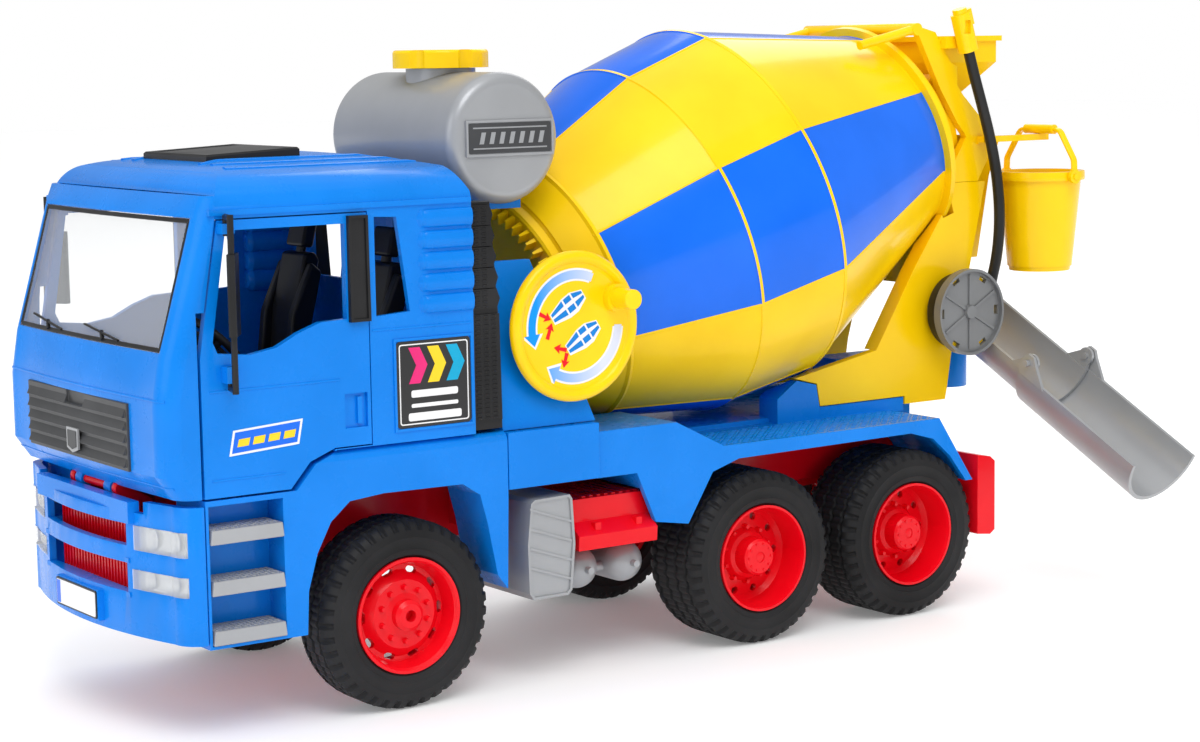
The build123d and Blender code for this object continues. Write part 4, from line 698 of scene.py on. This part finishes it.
CHEVRONS = {"pink": pink, "amber": label_yellow, "cyan": label_cyan}
PANEL_LINES = ((3, 131.2, 25.5, 134.2, 0.9), (3, 127.0, 25.5, 128.6, 0.6))
PANEL_FOOT = (1.5, 121.5, 27.0, 124.8, 0.8)
BADGE = [(-80.5, 115.5), (-49.5, 117.5), (-47.5, 127.6), (-78.5, 125.6)]
BADGE_FIELD = [(-79.4, 116.5), (-50.4, 118.4), (-48.7, 126.7), (-77.7, 124.8)]
BADGE_BARS = ((-77.0, 118.9), (-70.2, 119.35), (-63.4, 119.8), (-56.6, 120.25))


def printed_bar(u0, v0, u1, v1, radius, place):
    """Thin bar with round corners on a panel label."""
    return slab(rounded((u0, v0), (u1, v1), radius), place, 0.1, 0.36)


for side_name, side in SIDES.items():
    on_side = on_flank(side, HALF_WIDTH)
    panel = slab(rounded((-3.7, 118.8), (31.9, 154.7), 1.6), on_side, -0.3, 0.25)
    piece(f"panel_label_{side_name}", *panel, label_black, "cab", "black")
    for i, (tone, finish) in enumerate(CHEVRONS.items()):
        u = 2.0 + 9.0 * i
        outline = [(u, 137), (u + 5.4, 137), (u + 9.0, 144.5), (u + 5.4, 152), (u, 152),
                   (u + 3.6, 144.5)]
        piece(f"panel_chevron_{tone}_{side_name}", *slab(outline, on_side, 0.1, 0.36), finish,
              "cab", "white")
    bars = [printed_bar(*line, on_side) for line in PANEL_LINES]
    bars.append(ring(rounded((-2.5, 120), (30.7, 153.5), 1.2),
                     rounded((-2.0, 120.5), (30.2, 153.0), 0.9), on_side, 0.2, 0.33))
    bars.append(printed_bar(*PANEL_FOOT, on_side))
    piece(f"panel_bars_{side_name}", *gather(bars), white, "cab", "white")

    door = f"door_{side_name[0]}"
    piece(f"door_badge_{side_name}", *slab(BADGE, on_side, -0.3, 0.22), white, door, "white")
    piece(f"door_badge_blue_{side_name}", *slab(BADGE_FIELD, on_side, 0.1, 0.3), deep_blue, door,
          "drum_blue")
    stripes = [slab([(u, v), (u + 5.0, v + 0.35), (u + 5.8, v + 3.4), (u + 0.8, v + 3.05)],
                    on_side, 0.2, 0.38) for u, v in BADGE_BARS]
    piece(f"door_badge_bars_{side_name}", *gather(stripes), label_yellow, door, "yellow")

# blank badge on the grille
GRILLE_FACE = -111.6
SHIELD_MIDDLE, SHIELD_SHRINK = 116.6, 0.76
shield = [(-5.6, 112.6), (0, 110.9), (5.6, 112.6), (5.6, 121.2), (-5.6, 121.2)]
shield_face = [(u * SHIELD_SHRINK, SHIELD_MIDDLE + (v - SHIELD_MIDDLE) * SHIELD_SHRINK)
               for u, v in shield]
piece("grille_badge", *slab(shield, on_front(GRILLE_FACE), 0, 0.9), silver, "cab", "silver")
piece("grille_badge_face", *slab(shield_face, on_front(GRILLE_FACE), 0.7, 1.15), dark_grey, "cab",
      "dark_grey")

# blank plate with its border and band on the bumper
BUMPER_FACE = -113.2
for name, low, high, radius, levels, finish, slot in (
    ("front_plate", (-20.2, 44.4), (20.2, 56.0), 1.0, (-0.2, 0.5), black, "black"),
    ("front_plate_face", (-19.5, 45.1), (19.5, 55.3), 0.8, (0.3, 0.7), white, "white"),
    ("front_plate_band", (-19.2, 45.4), (-15.6, 55.0), 0.5, (0.5, 0.78), deep_blue, "drum_blue"),
):
    plate = slab(rounded(low, high, radius), on_front(BUMPER_FACE), *levels)
    piece(name, *plate, finish, "truck", slot)

# plates with lines on the water tank
for side_name, side in SIDES.items():
    on_tank = on_flank(side, TANK_HALF)
    plate = slab(rounded((49.8, 228.8), (91.7, 241.7), 0.8), on_tank, 0.1, 0.75)
    piece(f"tank_plate_{side_name}", *plate, dark_grey, "truck", "dark_grey")
    outlines = [[(52, v), (89.5, v), (89.5, v + 0.6), (52, v + 0.6)] for v in (230.6, 239.4)]
    outlines += [[(u, 232.8), (u + 2.2, 232.8), (u + 3.4, 237.8), (u + 1.2, 237.8)]
                 for u in (55.0 + 5.0 * i for i in range(7))]
    lines = [slab(outline, on_tank, 0.6, 0.95) for outline in outlines]
    piece(f"tank_plate_lines_{side_name}", *gather(lines), silver, "truck", "silver")


# ---------------------------------------------------------------- chequers and intake knurls
X, Y, Z = Vector((1, 0, 0)), Vector((0, 1, 0)), Vector((0, 0, 1))
DIAGONAL, CROSS = (X + Y).normalized(), (Y - X).normalized()


def chequer(x_range, y_range, z, pitch, length, width, height):
    """Rows of small raised bars that lean left and right in turn."""
    studs = []
    for j in range(int((y_range[1] - y_range[0]) / pitch)):
        for i in range(int((x_range[1] - x_range[0]) / pitch)):
            centre = (x_range[0] + pitch * (i + 0.5), y_range[0] + pitch * (j + 0.5), z)
            along, across = (DIAGONAL, CROSS) if (i + j) % 2 else (CROSS, DIAGONAL)
            studs.append(stud(centre, across, along, Z, width, length, height))
    return studs


STEP_LEVELS = (87.0, 66.5, 46.5)
CUSHION_LEVELS = (204.6, 195.8, 187.0, 178.2, 169.4)


def knurl(side, depth, y, z, length, height):
    """Small bar across the side of the cab, its foot sunk by the depth."""
    return stud((side * (HALF_WIDTH - depth), y, z), Y, Z, X * side, length, 1.15, height)


for side_name, side in SIDES.items():
    fender_x = sorted((side * 43.0, side * 77.0))
    fender = chequer(fender_x, (167.5, 296.5), 94.2, 3.2, 3.0, 1.1, 0.34)
    piece(f"fender_chequer_{side_name}", *gather(fender), blue, "truck", "blue_body")
    treads = []
    step_x = sorted((side * 66.4, side * 79.4))
    for level in STEP_LEVELS:
        treads += chequer(step_x, (-89.2, -59.0), level, 2.15, 1.9, 0.8, 0.3)
    piece(f"step_chequer_{side_name}", *gather(treads), silver, "truck", "silver")
    knurls = [knurl(side, 0.9, 36.6 + 3.9 * column, 119.2 + 1.95 * row, 2.9, 0.45)
              for row in range(23) for column in range(3)]
    knurls += [knurl(side, 0.4, 36.4 + 3.7 * column, level - 3.1 + 2.05 * row, 2.8, 0.4)
               for level in reversed(CUSHION_LEVELS) for row in range(4) for column in range(2)]
    piece(f"intake_knurls_{side_name}", *gather(knurls), black, "cab", "black")


# ---------------------------------------------------------------- lamps
BUMPER_CENTRE, BUMPER_RADIUS = 124.7, 236.2
BUMPER_BEND = 68  # where the curved front of the bumper ends


def bumper_front(x):
    """Y of the bumper's front at a distance from the middle."""
    if x <= BUMPER_BEND:
        return BUMPER_CENTRE - math.sqrt(BUMPER_RADIUS ** 2 - x * x)
    return -101.5 + 3.1 * (x - BUMPER_BEND) / 8


def mirror_back(side, x_near, x_far, z_low, z_high, columns=16):
    """Thin curved plate behind the lamps."""
    points = []
    for depth in (3.0, 3.7):
        for z in (z_low, z_high):
            for i in range(columns):
                x = x_near + (x_far - x_near) * i / (columns - 1)
                points.append((side * x, bumper_front(x) + depth, z))
    faces = []
    for i in range(columns - 1):
        a, b, c, d = (row * columns + i for row in range(4))
        faces += [(a, a + 1, b + 1, b), (c, c + 1, d + 1, d), (a, a + 1, c + 1, c),
                  (b, b + 1, d + 1, d)]
    faces += [(0, columns, 3 * columns, 2 * columns),
              (columns - 1, 2 * columns - 1, 4 * columns - 1, 3 * columns - 1)]
    return points, faces


def mirror_bowl(side, x, z, radius):
    """Round reflector of one lamp."""
    profile = [(3.2, 0.9), (2.6, 1.2), (2.9, 2.0), (2.95, radius - 1.1), (2.35, radius - 0.6),
               (2.35, radius), (3.2, radius)]
    return turned(profile, even(28), lambda p, a: (
        side * (x + p[1] * math.cos(a)), bumper_front(x) + p[0], z + p[1] * math.sin(a)))


chrome = plastic("lamp_chrome", (0.5, 0.505, 0.51), 0.14, vary=0.02, metal=0.9)
# X and Z ranges of each row's plate, and X of the lamps on it
LAMP_ROWS = ((45.8, 75.4, 76.8, 86.2, (54.0, 67.0)), (44.3, 75.4, 60.8, 68.2, (52.5, 66.5)))
for side_name, side in SIDES.items():
    mirrors = []
    for x_near, x_far, z_low, z_high, middles in LAMP_ROWS:
        mirrors.append(mirror_back(side, x_near, x_far, z_low, z_high))
        mirrors += [mirror_bowl(side, x, (z_low + z_high) / 2, (z_high - z_low) / 2 - 0.3)
                    for x in middles]
    piece(f"lamp_mirrors_{side_name}", *gather(mirrors), chrome, "truck", "silver")


# ---------------------------------------------------------------- seats and roof hatch
SEAT_X = 38
SEAT_WING = [(0.5, 136), (8, 133), (18.6, 176), (13.5, 180.5), (3.2, 158)]
# X from the middle of a seat, then outlines of (y, z)
SEAT_SLABS = (
    (-11, 11, [(4.5, 134), (9, 132), (20.2, 181), (18, 184.5), (12.5, 184), (6.5, 158)]),
    (-16, -10.6, SEAT_WING),
    (10.6, 16, SEAT_WING),
    (-8, 8, [(12.8, 187), (18.6, 186), (21.6, 198), (15.8, 199.4)]),
    (-3, 3, [(14.6, 182), (17.6, 182), (18.6, 188), (15.6, 188)]),
    (-15, 15, [(-34, 125), (4, 125), (6, 132), (-2, 135), (-32, 136.6)]),
    (-12, 12, [(-30, 116.4), (2, 116.4), (2, 126), (-30, 126)]),
)
seat_parts = [slab(outline, lambda u, v, w: (w, u, v), middle_x + low_x, middle_x + high_x)
              for middle_x in (-SEAT_X, SEAT_X) for low_x, high_x, outline in SEAT_SLABS]
seat_pads = piece("seat_pads", *gather(seat_parts), black, "cab", slot_of["seats"])
round_edges(seat_pads, 1.7, 4, 25)
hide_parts("seats")

ABOVE, AHEAD, OUTSIDE = 300, -150, 120  # starts of lines that meet the body from outside
DOWN, BACK = (0, 0, -1), (0, 1, 0)
HATCH_X, HATCH_FRONT, HATCH_BACK = 30.0, -62.0, -19.0
HATCH_RIM = (0.0, 0.7, 2.6, 3.2)  # lines of the rim, inwards from the edge


def roof_height(x, y):
    """Z of the cab's roof at a place."""
    return touch("cab_shell", (x, y, ABOVE), DOWN)[0].z


def hatch_skin():
    """Low lid that follows the roof, with a rim round a sunk field, crowned a little."""
    xs = [-HATCH_X + step for step in HATCH_RIM]
    xs += [-HATCH_X + 3.2 + (2 * HATCH_X - 6.4) * i / 8 for i in range(1, 8)]
    xs += [-x for x in reversed(xs[:4])]
    ys = [HATCH_FRONT + step for step in HATCH_RIM]
    ys += [HATCH_FRONT + 3.2 + (HATCH_BACK - HATCH_FRONT - 6.4) * i / 10 for i in range(1, 10)]
    ys += [HATCH_FRONT + HATCH_BACK - y for y in reversed(ys[:4])]
    columns, rows = len(xs), len(ys)
    front, back = roof_height(0, HATCH_FRONT), roof_height(0, HATCH_BACK)
    points = []
    for level in ("low", "high"):
        for j, y in enumerate(ys):
            base = front + (back - front) * (y - HATCH_FRONT) / (HATCH_BACK - HATCH_FRONT)
            for i, x in enumerate(xs):
                edge = i in (0, columns - 1) or j in (0, rows - 1)
                inside = 3 <= i < columns - 3 and 3 <= j < rows - 3
                crown = 0.9 * (1 - (x / HATCH_X) ** 2)
                top = 2.1 if edge else 2.9 - (0.7 - crown if inside else 0.0)
                points.append((x, y, base - 2.2 if level == "low" else base + top))
    count = columns * rows
    faces = []
    for j in range(rows - 1):
        for i in range(columns - 1):
            a = j * columns + i
            below = (a, a + 1, a + columns + 1, a + columns)
            faces += [below, tuple(count + corner for corner in below)]
    rim = list(range(columns)) + [j * columns + columns - 1 for j in range(1, rows)]
    rim += [(rows - 1) * columns + i for i in range(columns - 2, -1, -1)]
    rim += [j * columns for j in range(rows - 2, 0, -1)]
    for a, b in zip(rim, rim[1:] + rim[:1]):
        faces.append((a, b, count + b, count + a))
    return points, faces


hatch_lid = piece("hatch_lid", *hatch_skin(), black, "cab", slot_of["roof_hatch"], crease=24)
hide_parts("roof_hatch")


# ---------------------------------------------------------------- lips behind the doors' top edges
LIP_LOW, LIP_TURN, LIP_TOP, LIP_OUT = 206.6, 210.0, 211.0, 77.0
LIP_FRONT, LIP_BACK = -81.0, -16.8
for side_name, side in SIDES.items():
    door_x = min(abs(touch(f"door_{side_name}", (0, y, z), (side, 0, 0))[0].x)
                 for y in (-79.5, -50, -20) for z in (LIP_LOW, 208.2))
    outline = [(door_x - 1.2, LIP_LOW), (door_x - 0.3, LIP_LOW), (door_x - 0.3, LIP_TURN),
               (LIP_OUT, LIP_TURN), (LIP_OUT, LIP_TOP), (door_x - 1.2, LIP_TOP)]
    lip = slab(outline, lambda u, v, w, side=side: (side * u, w, v), LIP_FRONT, LIP_BACK)
    piece(f"door_lip_{side_name}", *lip, blue, "cab", "blue_body")


# ---------------------------------------------------------------- cab trim lines
def wrap(z, x_reach, count):
    """Points ahead of the cab at one height, from side to side."""
    return [(-x_reach + 2 * x_reach * i / (count - 1), AHEAD, z) for i in range(count)]


SCREEN_X = 69.2
SCREEN_LOW, SCREEN_HIGH = 158.6, 208.3
screen_edges = [strip_on("windscreen", wrap(z, SCREEN_X, 44), BACK, 1.9, 0.22)
                for z in (SCREEN_LOW, SCREEN_HIGH)]
screen_edges += [strip_on("windscreen",
                          spaced((x, AHEAD, SCREEN_LOW), (x, AHEAD, SCREEN_HIGH), 20),
                          BACK, 1.9, 0.22) for x in (-SCREEN_X, SCREEN_X)]
piece("screen_edge", *gather(screen_edges), black, "cab", "black")
wipers = []
for x in (34, -22):
    blade = spaced((x, AHEAD, 159.5), (x - 34, AHEAD, 163.5), 14)
    arm = spaced((x - 14, AHEAD, 158.8), (x - 17, AHEAD, 162.0), 5)
    wipers.append(strip_on("windscreen", blade, BACK, 1.0, 0.9))
    wipers.append(strip_on("windscreen", arm, BACK, 1.6, 1.1))
piece("wipers", *gather(wipers), black, "cab", "black")


def cushion(side, z, y0=8.6, y1=33.6, half=4.0, proud=2.1, columns=15, rows=9):
    """Rounded bar on the cab's rear quarter, closed at the back inside the wall."""
    points, faces = [], []
    for i in range(columns):
        t = i / (columns - 1)
        y = y0 + (y1 - y0) * t
        end = min(1.0, (y - y0) / 4.0) ** 0.5
        for j in range(rows):
            a = math.pi * j / (rows - 1)
            points.append((side * (HALF_WIDTH - 0.6 + (proud + 0.6) * end * math.sin(a) ** 0.7), y,
                           z - half * (0.55 + 0.45 * end) * math.cos(a)))
    for i in range(columns - 1):
        for j in range(rows - 1):
            a = i * rows + j
            faces.append((a, a + 1, a + rows + 1, a + rows))
        faces.append((i * rows, (i + 1) * rows, (i + 1) * rows + rows - 1, i * rows + rows - 1))
    faces += [tuple(range(rows)), tuple(range((columns - 1) * rows, columns * rows))]
    return points, faces


for side_name, side in SIDES.items():
    cushions = [cushion(side, z) for z in CUSHION_LEVELS]
    piece(f"quarter_cushions_{side_name}", *gather(cushions), blue, "cab", "blue_body", crease=50)

roof_ribs = [strip_on("cab_shell", spaced((side * x, -66, ABOVE), (side * x, 22, ABOVE), 24),
                      DOWN, 3.4, 0.55)
             for side in SIDES.values() for x in (32.0, 43.0, 54.0)]
piece("roof_ribs", *gather(roof_ribs), blue, "cab", "blue_body")


def side_line(node, side, z, start, stop, count, width):
    """Thin raised line along Y on one side of the truck."""
    out = side * OUTSIDE
    return strip_on(node, spaced((out, start, z), (out, stop, z), count), (-side, 0, 0), width, 0.3)


for side_name, side in SIDES.items():
    crease = side_line("cab_shell", side, 160.4, -14.5, 32.5, 12, 1.1)
    piece(f"quarter_crease_{side_name}", *crease, blue, "cab", "blue_body")
    door_lines = [side_line(f"door_{side_name}", side, 141.6, -88, -30, 16, 1.1),
                  side_line(f"door_{side_name}", side, 106.4, -88, -56, 10, 1.0)]
    piece(f"door_crease_{side_name}", *gather(door_lines), blue, f"door_{side_name[0]}",
          "blue_body")
front_lines = [strip_on("cab_shell", wrap(z, 76.0, 50), BACK, 1.1, 0.35) for z in (139.2, 104.6)]
piece("front_crease", *gather(front_lines), blue, "cab", "blue_body")
